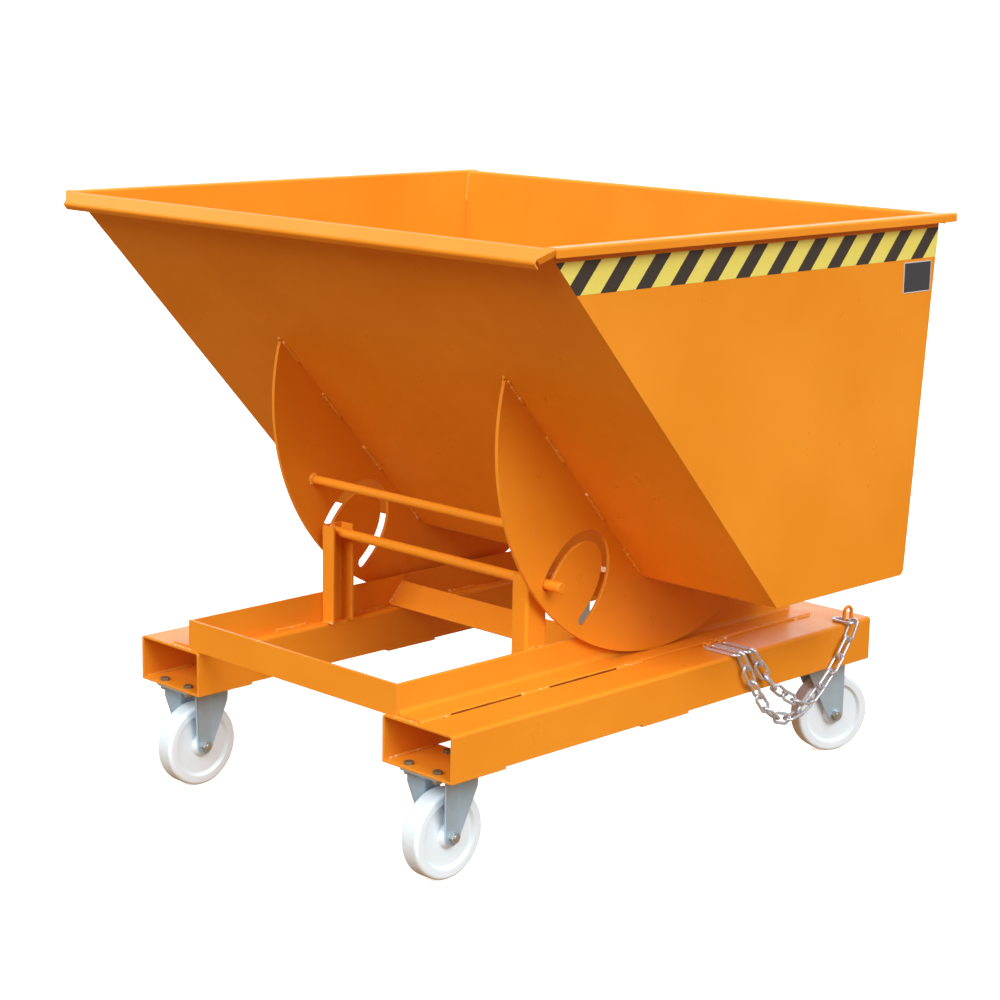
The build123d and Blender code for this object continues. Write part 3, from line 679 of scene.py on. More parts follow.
@dataclass(frozen=True)
class PrintedPlate(Finish):
    """Thin aluminium plate printed near black, bare inside a light border.

    The eye gets a dull dark field, a thin pale frame along the rim and the faint grain of rolled sheet.

    Attributes:
        middle: Y and Z of the plate's middle.
        half: Half of its length and height.
        border_w: Width of the border.
        ink: Colour of the field.
        worn_ink: Colour where the ink is thin.
        border: Colour of the border.
        grain_mm: Width of the rolling grain.
        grain_run: Scale of the grain along the plate.
        grain: Strength and height of the grain.
        satin: Least and greatest roughness.
    """

    middle: Span = (0.0, 0.0)
    half: Span = (0.048, 0.032)
    border_w: float = 0.002
    ink: str = "#34373d"
    worn_ink: str = "#42464d"
    border: str = "#cfcfc8"
    # The rolling grain is finer than a pixel here, drawn about 1 mm wide so that it shows.
    grain_mm: float = 1.0
    grain_run: float = 0.08
    grain: Span = (0.06, 0.0001)
    satin: Span = (0.35, 0.5)

    def shade(self, tree: Tree) -> Socket:
        """Builds the field and its border.

        Args:
            tree: Node tree of the material.

        Returns:
            The shader output.
        """
        place = add_node(tree, "ShaderNodeTexCoord").outputs["Object"]
        stretch = add_node(tree, "ShaderNodeMapping", {"Vector": place, "Scale": (1.0, self.grain_run, 1.0)})
        inked, grain = self.mottle(tree, stretch.outputs[0], self.grain_mm, 2.0, (self.ink, self.worn_ink))
        printed = add_node(
            tree,
            "ShaderNodeMix",
            {"Factor": self.rim(tree, place), 6: inked, 7: linear(self.border)},
            data_type="RGBA",
        )
        return self.close(
            tree,
            {"Base Color": printed.outputs[2], "IOR": 1.5},
            (grain, FULL_SPAN, self.satin),
            (grain, self.grain),
        )

    def rim(self, tree: Tree, place: Socket) -> Socket:
        """Finds the border.

        Args:
            tree: Node tree of the material.
            place: Place on the surface.

        Returns:
            One on the border, zero inside it.
        """
        axes = add_node(tree, "ShaderNodeSeparateXYZ", {0: place})
        gaps = []
        for axis, middle, half in zip("YZ", self.middle, self.half):
            off = add_node(tree, "ShaderNodeMath", {0: axes.outputs[axis], 1: middle}, operation="SUBTRACT")
            size = add_node(tree, "ShaderNodeMath", {0: off.outputs[0]}, operation="ABSOLUTE")
            gap = add_node(tree, "ShaderNodeMath", {0: half, 1: size.outputs[0]}, operation="SUBTRACT")
            gaps.append(gap.outputs[0])
        near = add_node(tree, "ShaderNodeMath", {0: gaps[0], 1: gaps[1]}, operation="MINIMUM")
        border = add_node(
            tree, "ShaderNodeMath", {0: near.outputs[0], 1: self.border_w}, operation="LESS_THAN"
        )
        return border.outputs[0]


@dataclass(frozen=True)
class StudioFloor(Finish):
    """Matt white light table, a translucent sheet lit a little from below, with a barely visible cloud.

    Attributes:
        colour: Colour of the sheet.
        cloud: Colour of the cloud.
        cloud_mm: Size of the cloud.
        lamp: Colour of the light from below.
        glow: Strength of that light.
    """

    colour: str = "#f4f4f3"
    cloud: str = "#eeeeed"
    cloud_mm: float = 900.0
    lamp: str = "#ffffff"
    glow: float = 0.6

    def shade(self, tree: Tree) -> Socket:
        """Builds the light table.

        Args:
            tree: Node tree of the material.

        Returns:
            The shader output.
        """
        place = add_node(tree, "ShaderNodeTexCoord").outputs["Object"]
        tint, _ = self.mottle(tree, place, self.cloud_mm, 2.0, (self.colour, self.cloud))
        shader = add_node(
            tree,
            "ShaderNodeBsdfPrincipled",
            {
                "Base Color": tint,
                "Roughness": 0.85,
                "Emission Color": linear(self.lamp),
                "Emission Strength": self.glow,
            },
        )
        return shader.outputs["BSDF"]


ENAMEL = SprayedEnamel("sprayed_orange_enamel", "orange_paint")
# Enamel over welds: its paler colour is partly painted sheen, and its pale specks are painted glints.
WELD_ENAMEL = SprayedEnamel(
    "orange_enamel_over_weld",
    "orange_paint",
    colour="#f3a03a",
    peel_mm=2.0,
    gloss=(0.18, 0.30),
    edge_mm=0.4,
    speck_mm=9.0,
)
# A dark strip of painted shadow for the open seams: the real gap there shows only shade.
SEAM_PAINTED_SHADOW = SprayedEnamel(
    "thin_enamel_in_open_seam",
    "orange_paint",
    colour="#7a3f0c",
    thick_coat="#5c2d08",
    thin_coat="#8a4a12",
    gloss=(0.5, 0.7),
    edge_mm=0.2,
)
CASTOR_ZINC = ZincPlate("blue_passivated_zinc_pressing", "zinc_plated_steel", metal=0.55)
OLIVE_ZINC = ZincPlate(
    "olive_passivated_zinc_screw",
    "zinc_plated_steel",
    colour="#9a9a80",
    cloud="#7d7e66",
    bright="#c3c4ad",
    cloud_mm=5.0,
)
SCREW_ZINC = ZincPlate(
    "zinc_plated_screw",
    "zinc_plated_steel",
    colour="#cfd2cf",
    cloud="#b5b8b2",
    cloud_mm=6.0,
    satin=(0.26, 0.40),
)
CHAIN_ZINC = ZincPlate(
    "bright_zinc_chain_wire",
    "zinc_plated_steel",
    colour="#e6ebf2",
    cloud="#ccd3dd",
    bright="#ffffff",
    cloud_mm=9.0,
    grain_mm=1.5,
    satin=(0.20, 0.34),
    metal=0.6,
)


def coat(names: Iterable[str], finish: Finish) -> None:
    """Puts a finish on CAD nodes.

    Args:
        names: Names of the nodes.
        finish: Finish that every one of them gets.
    """
    for name in names:
        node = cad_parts[name]
        if not node.material_slots:
            node.data.materials.append(finish.material())
        for slot in node.material_slots:
            slot.material = finish.material()
        log.info("dressed %s in %s", name, finish.name)


def both(*stems: str) -> list[str]:
    """Names of the left and right node of each stem."""
    return [f"{stem}_{side.tag}" for stem in stems for side in Side]


def middle_of(node: str) -> Vector:
    """Middle of a CAD node's box."""
    return (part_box(node)[0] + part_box(node)[1]) / 2


def pocket_front() -> float:
    """Y of the front of the fork pockets."""
    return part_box("fork_pocket_right")[0].y


def floor_under() -> float:
    """Z of the underside of the tub's floor."""
    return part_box("floor_back_sheet")[0].z


@dataclass
class WeldRun:
    """Fillet welds of one joint, laid as rippled beads in one mesh.

    Attributes:
        name: Name of the piece.
        body: CAD body that it rides on.
        leg: Leg length of the fillet.
        pitch: Distance between two ripples.
        finish: Finish of the beads.
        step: Distance between two cross-sections.
        arc_steps: Steps round a cross-section.
        root: Depth of a bead's root in both faces.
        blunt: Length by which an end is blunt.
        bow: How far the ripples bow, in legs.
        ripple: Least size of a ripple and its growth to the crest.
        bulge: Share by which the face bulges from flat to round.
        uneven: Least and greatest size of a bead along its way.
    """

    name: str
    body: str
    leg: float = 5 * MM
    pitch: float = 4.8 * MM
    finish: Finish = WELD_ENAMEL
    step: float = 1.3 * MM
    arc_steps: int = 6
    root: float = 0.4 * MM
    blunt: float = 0.6 * MM
    bow: float = 0.7
    ripple: Span = (0.92, 0.14)
    bulge: float = 0.4
    uneven: Span = (0.9, 1.1)
    mesh: bmesh.types.BMesh = field(default_factory=bmesh.new)

    def lay(self, stations: list[Station], leg: float, closed: bool = False) -> None:
        """Lays one bead.

        Args:
            stations: Point on the joint, direction up the one face and direction along the other.
            leg: Leg length of this bead.
            closed: Whether the bead runs round and meets itself.
        """
        chance = random.Random(f"{self.name}{len(self.mesh.verts)}")
        travel = [0.0]
        for before, after in zip(stations, stations[1:]):
            travel.append(travel[-1] + (after[0] - before[0]).length)
        ripples = int(travel[-1] / self.pitch) + 4
        sizes = [chance.uniform(*self.uneven) for _ in range(ripples)]
        rows = []
        for run, (joint, wall, floor) in zip(travel, stations):
            near = 1.0 if closed else min(1.0, (min(run, travel[-1] - run) + self.blunt) / leg)
            grown = math.sqrt(1 - (1 - near) ** 2)
            row = [self.mesh.verts.new(joint - (wall + floor) * self.root)]
            for step in range(self.arc_steps + 1):
                angle = step / self.arc_steps * math.pi / 2
                phase = (run + self.bow * leg * math.sin(2 * angle)) / self.pitch
                crest = self.ripple[0] + self.ripple[1] * abs(math.sin(math.pi * phase))
                face = (1 - self.bulge) / (math.sin(angle) + math.cos(angle)) + self.bulge
                reach = leg * grown * face * crest * sizes[int(phase)]
                point = joint + wall * reach * math.sin(angle) + floor * reach * math.cos(angle)
                row.append(self.mesh.verts.new(point))
            rows.append(row)
        self.skin(rows, closed)

    def skin(self, rows: list[list[bmesh.types.BMVert]], closed: bool) -> None:
        """Joins the cross-sections of a bead.

        Args:
            rows: Points of each cross-section.
            closed: Whether the last one meets the first.
        """
        pairs = list(zip(rows, rows[1:]))
        if closed:
            pairs.append((rows[-1], rows[0]))
        else:
            self.mesh.faces.new(rows[0])
            self.mesh.faces.new(list(reversed(rows[-1])))
        for first, second in pairs:
            for place in range(len(first)):
                after = (place + 1) % len(first)
                self.mesh.faces.new((first[place], second[place], second[after], first[after]))

    def line(self, start: Vector, end: Vector, wall: Vector, floor: Vector, leg: float | None = None) -> None:
        """Lays a straight bead.

        Args:
            start: One end of the joint.
            end: Other end of the joint.
            wall: Unit direction up the one face.
            floor: Unit direction along the other face.
            leg: Leg length if it differs from the run's own.
        """
        count = max(10, int((end - start).length / self.step))
        stations = [(start.lerp(end, step / count), wall, floor) for step in range(count + 1)]
        self.lay(stations, leg or self.leg)

    def stitch(self, x: float, z: float, spans: Iterable[Span], wall: Vector, floor: Vector) -> None:
        """Lays straight beads from front to rear.

        Args:
            x: Place of the joint across the hopper.
            z: Height of the joint.
            spans: Start and end of each bead, from the front of the pockets.
            wall: Unit direction up the one face.
            floor: Unit direction along the other face.
        """
        front = pocket_front()
        for start, end in spans:
            self.line(Vector((x, front + start, z)), Vector((x, front + end, z)), wall, floor)

    def ring(self, centre: Vector, axis: Vector, radius: float, leg: float | None = None) -> None:
        """Lays a bead round a rod where it meets a face.

        Args:
            centre: Centre of the rod on the face.
            axis: Unit direction of the rod, away from the face.
            radius: Radius of the rod.
            leg: Leg length if it differs from the run's own.
        """
        spoke = axis.orthogonal().normalized()
        count = max(24, int(2 * math.pi * radius / self.step))
        stations = []
        for step in range(count):
            out = Matrix.Rotation(2 * math.pi * step / count, 3, axis) @ spoke
            stations.append((centre + out * radius, axis, out))
        self.lay(stations, leg or self.leg, closed=True)

    def build(self) -> bpy.types.Object:
        """Makes the piece, dresses it and lets it ride.

        Returns:
            The weld piece.
        """
        bmesh.ops.recalc_face_normals(self.mesh, faces=self.mesh.faces)
        for face in self.mesh.faces:
            face.smooth = True
        data = bpy.data.meshes.new(self.name)
        self.mesh.to_mesh(data)
        self.mesh.free()
        piece = bpy.data.objects.new(self.name, data)
        bpy.context.scene.collection.objects.link(piece)
        data.materials.append(self.finish.material())
        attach(piece, self.body)
        log.info("welded %s on %s", self.name, self.body)
        return piece


class SubAssembly:
    """A group of CAD nodes that are dressed together, and the pieces that the scene adds to them."""

    def dress(self) -> None:
        """Puts the finishes on the group's nodes."""
        raise NotImplementedError

    def build(self) -> None:
        """Builds the added pieces, none unless the group has its own."""


@dataclass
class Chassis(SubAssembly):
    """Fork pockets, rails, crossbars and posts, one welded frame.

    Attributes:
        rail_stitches: Runs of weld along the outer edge of a rail, from the front of the pockets.
        heel_stitches: Runs of weld along its inner heel.
        open_seams: Runs of open seam along the outer edge, each filled with a strip of painted shadow.
        bead: Leg length of the rail's beads.
        end_bead: Leg length of the bead across the rail's front end.
        seam: Width of the strip of painted shadow in an open seam.
        seam_pitch: Distance over which its width changes.
        foot_bead: Leg length of the beads at the posts and the crossbars.
        post_gap: Gap between a post's foot weld and its outer face.
        post_tack: Start and end of the tacks beside a post, from its edges.
        tack_bead: Leg length of these tacks and of the ring round the axle.
        post_wall: Thickness of a post's wall.
        axle_r: Radius of the guide axle.
        pocket_wall: Thickness of a pocket's wall.
        pad_bead: Leg length of the beads along the pads.
        pad_gap: Gap between a pad's bead and the pad's ends.
        ridge_run: Start and end of the beads up the middle crossbar's sides, as shares of the way.
        bar_foot: Gap below the beads at the ends of the front and rear crossbars.
        front_bar_gap: Gap above the front crossbar's beads.
        rear_bar_gap: Gap above the rear crossbar's beads.
    """

    rail_stitches: tuple[Span, ...] = (
        (0.012, 0.090),
        (0.290, 0.368),
        (0.574, 0.655),
        (0.875, 0.940),
        (1.163, 1.226),
    )
    heel_stitches: tuple[Span, ...] = ((0.235, 0.325), (0.470, 0.560), (0.760, 0.850), (1.030, 1.120))
    open_seams: tuple[Span, ...] = ((0.093, 0.287), (0.371, 0.571))
    bead: float = 5 * MM
    end_bead: float = 3.2 * MM
    seam: float = 2.4 * MM
    seam_pitch: float = 60 * MM
    foot_bead: float = 4.5 * MM
    post_gap: float = 8 * MM
    post_tack: Span = (6 * MM, 24 * MM)
    tack_bead: float = 4 * MM
    post_wall: float = 5 * MM
    axle_r: float = 11 * MM
    pocket_wall: float = 5 * MM
    pad_bead: float = 3.5 * MM
    pad_gap: float = 12 * MM
    ridge_run: Span = (0.06, 0.97)
    bar_foot: float = 4 * MM
    front_bar_gap: float = 3 * MM
    rear_bar_gap: float = 8 * MM

    def dress(self) -> None:
        """Paints the frame."""
        coat(both("fork_pocket", "front_pad", "rear_pad", "middle_strap", "guide_rail", "axle_post"), ENAMEL)
        coat(("front_crossbar", "middle_crossbar", "rear_crossbar", "guide_axle"), ENAMEL)

    def build(self) -> None:
        """Lays the welds of the frame."""
        for side in Side:
            self.weld_rail(side)
            self.weld_post(side)
            self.weld_pads(side)
        self.weld_bars()

    def weld_rail(self, side: Side) -> None:
        """Lays the stitches along the outer edge and the inner heel of a rail, and painted shadow in its open
        seams.

        Args:
            side: Side of the hopper.
        """
        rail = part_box(f"guide_rail_{side.tag}")
        foot_z = rail[0].z
        edge = side.outer(rail)
        heel = side.inner(rail)
        run = WeldRun(f"rail_stitches_{side.tag}", "frame", self.bead)
        run.stitch(edge, foot_z, self.rail_stitches, UP, side.out)
        run.stitch(heel, foot_z, self.heel_stitches, UP, -side.out)
        end_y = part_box("front_crossbar")[0].y
        run.line(Vector((heel, end_y, foot_z)), Vector((edge, end_y, foot_z)), UP, AHEAD, self.end_bead)
        run.build()
        # Dark strip of painted shadow in each open seam.
        seam = WeldRun(f"rail_seam_{side.tag}", "frame", self.seam, self.seam_pitch, SEAM_PAINTED_SHADOW)
        seam.stitch(edge, foot_z, self.open_seams, UP, side.out)
        seam.build()

    def weld_post(self, side: Side) -> None:
        """Lays the foot welds of a post, its tacks to the rail and the ring round the axle.

        Args:
            side: Side of the hopper.
        """
        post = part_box(f"axle_post_{side.tag}")
        foot, top = post
        rail_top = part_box(f"guide_rail_{side.tag}")[1].z
        inner, outer = side.inner(post), side.outer(post)
        run = WeldRun(f"post_welds_{side.tag}", "frame", self.foot_bead)
        for y, away in ((foot.y, AHEAD), (top.y, ASTERN)):
            stop = Vector((outer - self.post_gap * side.value, y, foot.z))
            run.line(Vector((inner, y, foot.z)), stop, UP, away)
            ends = [Vector((outer, y - gap * away.y, rail_top)) for gap in self.post_tack]
            run.line(*ends, UP, side.out, self.tack_bead)
        axle = middle_of("guide_axle")
        web = Vector((outer - self.post_wall * side.value, axle.y, axle.z))
        run.ring(web, -side.out, self.axle_r, self.tack_bead)
        run.build()

    def weld_pads(self, side: Side) -> None:
        """Lays the welds of the pads and the strap along the pocket walls.

        Args:
            side: Side of the hopper.
        """
        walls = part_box(f"fork_pocket_{side.tag}")
        run = WeldRun(f"pad_welds_{side.tag}", "frame", self.pad_bead)
        for piece in ("front_pad", "middle_strap", "rear_pad"):
            pad_low, pad_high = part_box(f"{piece}_{side.tag}")
            front_y = pad_low.y + self.pad_gap
            rear_y = pad_high.y - self.pad_gap
            for x, away in (
                (walls[0].x + self.pocket_wall, Side.RIGHT.out),
                (walls[1].x - self.pocket_wall, Side.LEFT.out),
            ):
                run.line(Vector((x, front_y, pad_high.z)), Vector((x, rear_y, pad_high.z)), UP, away)
        run.build()

    def weld_bars(self) -> None:
        """Lays the end welds of the crossbars."""
        run = WeldRun("crossbar_welds", "frame", self.foot_bead)
        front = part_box("front_crossbar")
        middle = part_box("middle_crossbar")
        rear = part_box("rear_crossbar")
        ridge_y = (middle[0].y + middle[1].y) / 2
        for side in Side:
            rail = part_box(f"guide_rail_{side.tag}")
            heel = side.inner(rail)
            start = Vector((heel, front[1].y, rail[0].z + self.bar_foot))
            end = Vector((heel, front[1].y, front[1].z - self.front_bar_gap))
            run.line(start, end, -side.out, ASTERN)
            for y in (middle[0].y, middle[1].y):
                foot = Vector((heel, y, middle[0].z))
                top = Vector((heel, ridge_y, middle[1].z))
                face = (top - foot).normalized()
                normal = Vector((0, face.z, -face.y)) * (1 if y > ridge_y else -1)
                ends = [foot.lerp(top, share) for share in self.ridge_run]
                run.line(*ends, normal, -side.out)
            wall = side.inner(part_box(f"fork_pocket_{side.tag}"))
            start = Vector((wall, rear[0].y, rear[0].z + self.bar_foot))
            end = Vector((wall, rear[0].y, rear[1].z - self.rear_bar_gap))
            run.line(start, end, AHEAD, -side.out)
        run.build()


@dataclass
class Castors(SubAssembly):
    """Two fixed front castors and two swivelling rear ones.

    Attributes:
        swing: Angle that the rear castors stand at, in degrees.
    """

    swing: float = -22.0

    def dress(self) -> None:
        """Plates the brackets and screws and turns the wheels."""
        coat(both("front_castor_bracket", "rear_castor_plate", "rear_castor_fork"), CASTOR_ZINC)
        coat(both("rear_axle_bolt", "rear_axle_nut"), SCREW_ZINC)
        coat(("front_axle_bolts", "front_axle_nuts", "castor_nuts", "swivel_kingpins"), SCREW_ZINC)
        coat(("castor_bolts",), OLIVE_ZINC)
        for side in Side:
            for end, turn in (("front", 0.0), ("rear", math.radians(self.swing * side.value))):
                node = f"{end}_wheel_{side.tag}"
                nylon = CastNylon(
                    f"turned_cast_nylon_{end}_{side.tag}",
                    "white_nylon",
                    centre=tuple(middle_of(node)),
                    axis=(math.cos(turn), math.sin(turn), 0.0),
                )
                coat((node,), nylon)


@dataclass
class Tub(SubAssembly):
    """Sheet tub with folded rims and the beads in its rear corners.

    Attributes:
        bead: Leg length of the beads.
        corner_bead: Length of the beads.
        rim_gap: Gap between a bead and the top of the back.
        floor_run: Length of the floor, from its front edge to the bend of the back.
        back_wall: Thickness of the back.
    """

    bead: float = 5 * MM
    corner_bead: float = 72 * MM
    rim_gap: float = 7 * MM
    floor_run: float = 432.5 * MM
    back_wall: float = 6 * MM

    def dress(self) -> None:
        """Paints the sheets."""
        coat(both("side_sheet"), ENAMEL)
        coat(("front_slope", "floor_back_sheet", "roll_centre_pins"), ENAMEL)

    def build(self) -> None:
        """Lays the beads in the rear inner corners."""
        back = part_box("floor_back_sheet")
        inward = Vector((0, -math.cos(BACK_LEAN), math.sin(BACK_LEAN)))
        top_z = back[1].z - self.rim_gap
        run = WeldRun("tub_seams", "hopper", self.bead)
        for side in Side:
            x = side.outer(back)
            ends = [Vector((x, self.back_face(z), z)) for z in (top_z, top_z - self.corner_bead)]
            run.line(*ends, -side.out, inward)
        run.build()

    def back_face(self, z: float) -> float:
        """Finds the inner face of the back.

        Args:
            z: Height on the back.

        Returns:
            Y of the face at that height.
        """
        heel = pocket_front() + FLOOR_FRONT + self.floor_run
        return heel + (z - floor_under()) * math.tan(BACK_LEAN) - self.back_wall / math.cos(BACK_LEAN)


@dataclass
class Rockers(SubAssembly):
    """Rocker plates and the tie rod, welded under the tub.

    Attributes:
        stitches: Runs of weld along the slope, measured from the front of the pockets.
        floor_stitches: Runs of weld along the floor.
        bead: Leg length of the stitches and of the rings round the rod.
        tip_run: Length of a rocker along the slope, from the floor to its tip.
        tip_bead: Leg length of the bead at the tip.
        rod_r: Radius of the tie rod.
    """

    stitches: tuple[Span, ...] = ((0.272, 0.318), (0.385, 0.440), (0.505, 0.563), (0.626, 0.682))
    floor_stitches: tuple[Span, ...] = ((0.720, 0.780), (0.860, 0.920), (1.010, 1.070))
    bead: float = 5 * MM
    tip_run: float = 630.4 * MM
    tip_bead: float = 7 * MM
    rod_r: float = 10 * MM

    def dress(self) -> None:
        """Paints the rockers and the rod."""
        coat(both("rocker"), ENAMEL)
        coat(("rocker_tie_rod",), ENAMEL)

    def build(self) -> None:
        """Lays the stitches to the slope and floor and the rings round the rod."""
        along = Vector((0, math.cos(SLOPE), -math.sin(SLOPE)))
        away = Vector((0, -math.sin(SLOPE), -math.cos(SLOPE)))
        floor_z = floor_under()
        corner = Vector((0, pocket_front() + FLOOR_FRONT, floor_z))
        tip = corner - along * self.tip_run
        rod = middle_of("rocker_tie_rod")
        for side in Side:
            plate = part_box(f"rocker_{side.tag}")
            run = WeldRun(f"rocker_stitches_{side.tag}", "hopper", self.bead)
            for x, face in ((plate[0].x, Side.LEFT.out), (plate[1].x, Side.RIGHT.out)):
                for span in self.stitches:
                    ends = [corner + along * ((p - FLOOR_FRONT) / along.y) for p in span]
                    run.line(*(Vector((x, *end.yz)) for end in ends), away, face)
                run.stitch(x, floor_z, self.floor_stitches, DOWN, face)
            ends = [Vector((edge.x, *tip.yz)) for edge in plate]
            run.line(*ends, -along, away, self.tip_bead)
            run.ring(Vector((side.inner(plate), rod.y, rod.z)), -side.out, self.rod_r)
            run.build()


@dataclass
class Latch(SubAssembly):
    """Lever that holds the tub down, its bracket and its catch.

    Attributes:
        foot_bead: Leg length of the beads at the bracket's foot.
        foot_gap: Gap between these beads and the foot's corners.
        ear_bead: Leg length of the beads up the catch ears.
        ear_run: Length of these beads.
        ear_gap: Gap below them.
    """

    foot_bead: float = 4 * MM
    foot_gap: float = 6 * MM
    ear_bead: float = 5 * MM
    ear_run: float = 64 * MM
    ear_gap: float = 8 * MM

    def dress(self) -> None:
        """Paints the latch and plates its pin."""
        coat(("latch_bracket", "latch_lever", "latch_catch"), ENAMEL)
        coat(("latch_pin",), SCREW_ZINC)

    def build(self) -> None:
        """Lays the welds round the bracket's foot and up the catch ears."""
        foot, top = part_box("latch_bracket")
        run = WeldRun("latch_foot_weld", "frame", self.foot_bead)
        for y, away in ((foot.y, AHEAD), (top.y, ASTERN)):
            start = Vector((foot.x + self.foot_gap, y, foot.z))
            end = Vector((top.x - self.foot_gap, y, foot.z))
            run.line(start, end, UP, away)
        run.build()
        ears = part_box("latch_catch")
        up = Vector((0, math.sin(BACK_LEAN), math.cos(BACK_LEAN)))
        out = Vector((0, math.cos(BACK_LEAN), -math.sin(BACK_LEAN)))
        run = WeldRun("catch_welds", "hopper", self.ear_bead)
        for side in Side:
            start = Vector((side.outer(ears), ears[0].y, ears[0].z)) + up * self.ear_gap
            run.line(start, start + up * self.ear_run, out, side.out)
        run.build()


@dataclass
class SafetyChain(SubAssembly):
    """Hanging chain with its eye and keepers.

    Attributes:
        bead: Leg length of the beads.
        eye_r: Radius of the rod that the eye is bent from.
        keeper_w: Width of a keeper.
    """

    bead: float = 3 * MM
    eye_r: float = 4 * MM
    keeper_w: float = 8 * MM

    def dress(self) -> None:
        """Plates the links and paints what is welded to the pocket."""
        coat(("safety_chain", "chain_end_links"), CHAIN_ZINC)
        coat(("chain_eye", "chain_keepers"), ENAMEL)

    def build(self) -> None:
        """Lays the welds at the feet of the eye and the keepers."""
        run = WeldRun("chain_foot_welds", "frame", self.bead)
        foot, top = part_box("chain_eye")
        for y in (foot.y + self.eye_r, top.y - self.eye_r):
            run.ring(Vector(((foot.x + top.x) / 2, y, foot.z)), UP, self.eye_r)
        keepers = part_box("chain_keepers")
        foot, top = keepers
        for y in (foot.y, top.y - self.keeper_w):
            for side in Side:
                x = side.outer(keepers)
                run.line(Vector((x, y, foot.z)), Vector((x, y + self.keeper_w, foot.z)), UP, side.out)
        run.build()


@dataclass
class Markings(SubAssembly):
    """Hazard tape on both sides and the bare type plate.

    Attributes:
        first_band: Front end of the first black band on the tape's lower edge, from the front of the pockets.
    """

    first_band: float = 0.1368

    def dress(self) -> None:
        """Prints the tape and the plate."""
        tape = HazardVinyl(
            "printed_hazard_vinyl",
            "hazard_tape",
            first=pocket_front() + self.first_band,
            low_z=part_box("hazard_tape_right")[0].z,
        )
        coat(both("hazard_tape"), tape)
        middle = middle_of("type_plate")
        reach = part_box("type_plate")[1] - middle
        plate = PrintedPlate(
            "printed_aluminium_plate", "dark_plate", middle=tuple(middle.yz), half=tuple(reach.yz)
        )
        coat(("type_plate",), plate)


@dataclass(frozen=True)
class Lamp:
    """A wide soft light.

    Attributes:
        name: Name of the light.
        toward: Direction from the hopper to the light.
        power: Strength of the light.
        spread: Angle that it fills, in degrees.
        tint: Colour of the light.
    """

    name: str
    toward: tuple[float, float, float]
    power: float
    spread: float
    tint: str

    def hang(self) -> None:
        """Adds the light to the scene."""
        lamp = bpy.data.lights.new(self.name, "SUN")
        lamp.energy = self.power
        lamp.color = linear(self.tint)[:3]
        lamp.angle = math.radians(self.spread)
        light = bpy.data.objects.new(self.name, lamp)
        light.rotation_euler = Vector(self.toward).to_track_quat("Z", "Y").to_euler()
        bpy.context.scene.collection.objects.link(light)


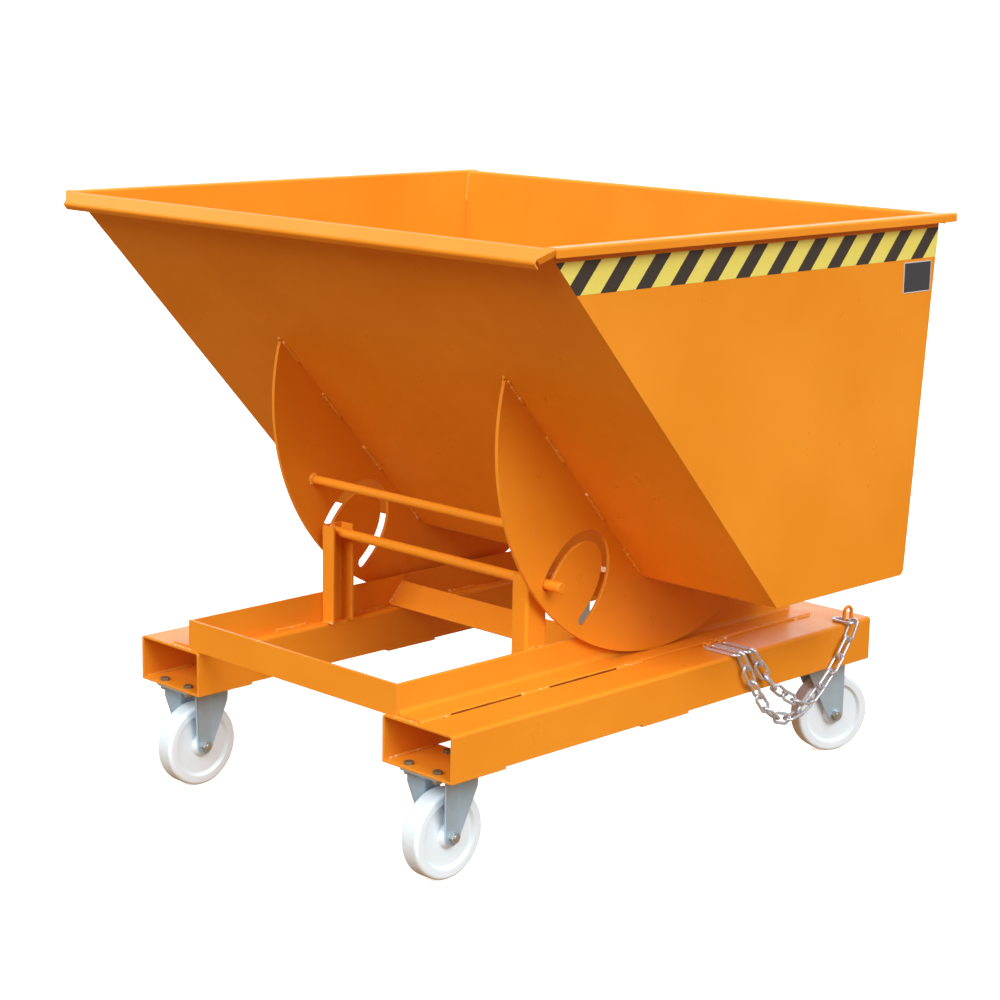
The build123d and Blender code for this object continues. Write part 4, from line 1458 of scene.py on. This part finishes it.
@dataclass
class Studio:
    """Pale floor, soft light and the camera of the photograph.

    Attributes:
        place: Camera position.
        azimuth: Angle of the view round the hopper, in degrees.
        elevation: Angle of the camera above the horizon, in degrees.
        roll: Tilt of the picture, in degrees.
        lens: Focal length for a sensor 36 mm wide.
        floor_r: Radius of the flat floor.
        cove_r: Radius of the bend from floor to wall.
        wall_h: Height of the wall.
        rings: Rings of faces in the flat floor.
        bend_steps: Rings of faces in the bend.
        turn_steps: Faces round a ring.
        lamps: Lights at the right and in front, and a weaker one at the left rear.
        sky: Colour of the light from above.
        ground: Colour of the light from below.
        haze: Sine of the angle over which the one turns to the other.
    """

    place: tuple[float, float, float] = (3.50069, -3.64510, 1.68230)
    azimuth: float = 44.4036
    elevation: float = 12.0302
    roll: float = 1.1179
    lens: float = 84.84
    floor_r: float = 22.0
    cove_r: float = 5.0
    wall_h: float = 9.0
    rings: int = 8
    bend_steps: int = 12
    turn_steps: int = 96
    lamps: tuple[Lamp, ...] = (
        Lamp("right_light", (0.80, -0.10, 0.60), 2.55, 36.0, "#f4fbff"),
        Lamp("front_light", (0.10, -0.80, 0.60), 2.35, 36.0, "#fafdff"),
        Lamp("rear_light", (-0.6, 0.6, 0.5), 1.7, 80.0, "#f6fbff"),
    )
    sky: str = "#989ea6"
    ground: str = "#a3763c"
    haze: float = 0.25

    def build(self) -> None:
        """Sets the floor, the lights and the camera."""
        bpy.context.scene.view_settings.view_transform = "Standard"
        self.lay_floor()
        for lamp in self.lamps:
            lamp.hang()
        self.paint_sky()
        self.set_camera()

    def lay_floor(self) -> None:
        """Lays a wide round floor that turns up into a wall all round."""
        profile = [(self.floor_r * step / self.rings, 0.0) for step in range(self.rings + 1)]
        for step in range(1, self.bend_steps + 1):
            angle = math.pi / 2 * step / self.bend_steps
            reach = self.floor_r + self.cove_r * math.sin(angle)
            profile.append((reach, self.cove_r * (1 - math.cos(angle))))
        profile.append((self.floor_r + self.cove_r, self.wall_h))
        mesh = bmesh.new()
        line = [mesh.verts.new((reach, 0, rise)) for reach, rise in profile]
        edges = [mesh.edges.new(pair) for pair in zip(line, line[1:])]
        bmesh.ops.spin(
            mesh,
            geom=line + edges,
            cent=(0, 0, 0),
            axis=UP,
            angle=2 * math.pi,
            steps=self.turn_steps,
            use_merge=True,
        )
        bmesh.ops.remove_doubles(mesh, verts=mesh.verts, dist=1e-5)
        bmesh.ops.recalc_face_normals(mesh, faces=mesh.faces)
        for face in mesh.faces:
            face.smooth = True
        data = bpy.data.meshes.new("studio_floor")
        mesh.to_mesh(data)
        mesh.free()
        data.materials.append(StudioFloor("matt_white_floor", "").material())
        floor = bpy.data.objects.new("studio_floor", data)
        bpy.context.scene.collection.objects.link(floor)
        floor.visible_diffuse = False
        floor.visible_glossy = False

    def paint_sky(self) -> None:
        """Lights the scene with a grey sky over brown ground."""
        world = bpy.data.worlds.new("studio_sky")
        world.use_nodes = True
        tree = world.node_tree
        tree.nodes.clear()
        toward = add_node(tree, "ShaderNodeTexCoord").outputs["Generated"]
        height = add_node(tree, "ShaderNodeSeparateXYZ", {0: toward}).outputs["Z"]
        above = add_node(
            tree, "ShaderNodeMapRange", {"Value": height, "From Min": -self.haze, "From Max": self.haze}
        )
        sky = add_node(
            tree,
            "ShaderNodeMix",
            {"Factor": above.outputs["Result"], 6: linear(self.ground), 7: linear(self.sky)},
            data_type="RGBA",
        )
        light = add_node(tree, "ShaderNodeBackground", {"Color": sky.outputs[2], "Strength": 1.0})
        add_node(tree, "ShaderNodeOutputWorld", {"Surface": light.outputs[0]})
        bpy.context.scene.world = world

    def set_camera(self) -> None:
        """Sets the camera at the photograph's view."""
        turn, rise, tilt = (math.radians(angle) for angle in (self.azimuth, self.elevation, self.roll))
        away = Vector((math.sin(turn) * math.cos(rise), -math.cos(turn) * math.cos(rise), math.sin(rise)))
        level = Vector((math.cos(turn), math.sin(turn), 0))
        upright = away.cross(level)
        right = level * math.cos(tilt) + upright * math.sin(tilt)
        top = upright * math.cos(tilt) - level * math.sin(tilt)
        lens = bpy.data.cameras.new("photo_camera")
        lens.lens = self.lens
        lens.sensor_width = 36.0
        lens.sensor_fit = "HORIZONTAL"
        camera = bpy.data.objects.new("photo_camera", lens)
        facing = Matrix((right, top, away)).transposed().to_4x4()
        camera.matrix_world = Matrix.Translation(self.place) @ facing
        bpy.context.scene.collection.objects.link(camera)
        bpy.context.scene.camera = camera


def main() -> None:
    """Builds and dresses the hopper, sub-assembly by sub-assembly."""
    logging.basicConfig(level=logging.INFO, format="%(name)s: %(message)s")
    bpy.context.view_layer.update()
    for assembly in (Chassis(), Castors(), Tub(), Rockers(), Latch(), SafetyChain(), Markings()):
        assembly.dress()
        assembly.build()
        log.info("finished %s", type(assembly).__name__)
    Studio().build()


if __name__ == "__main__":
    main()
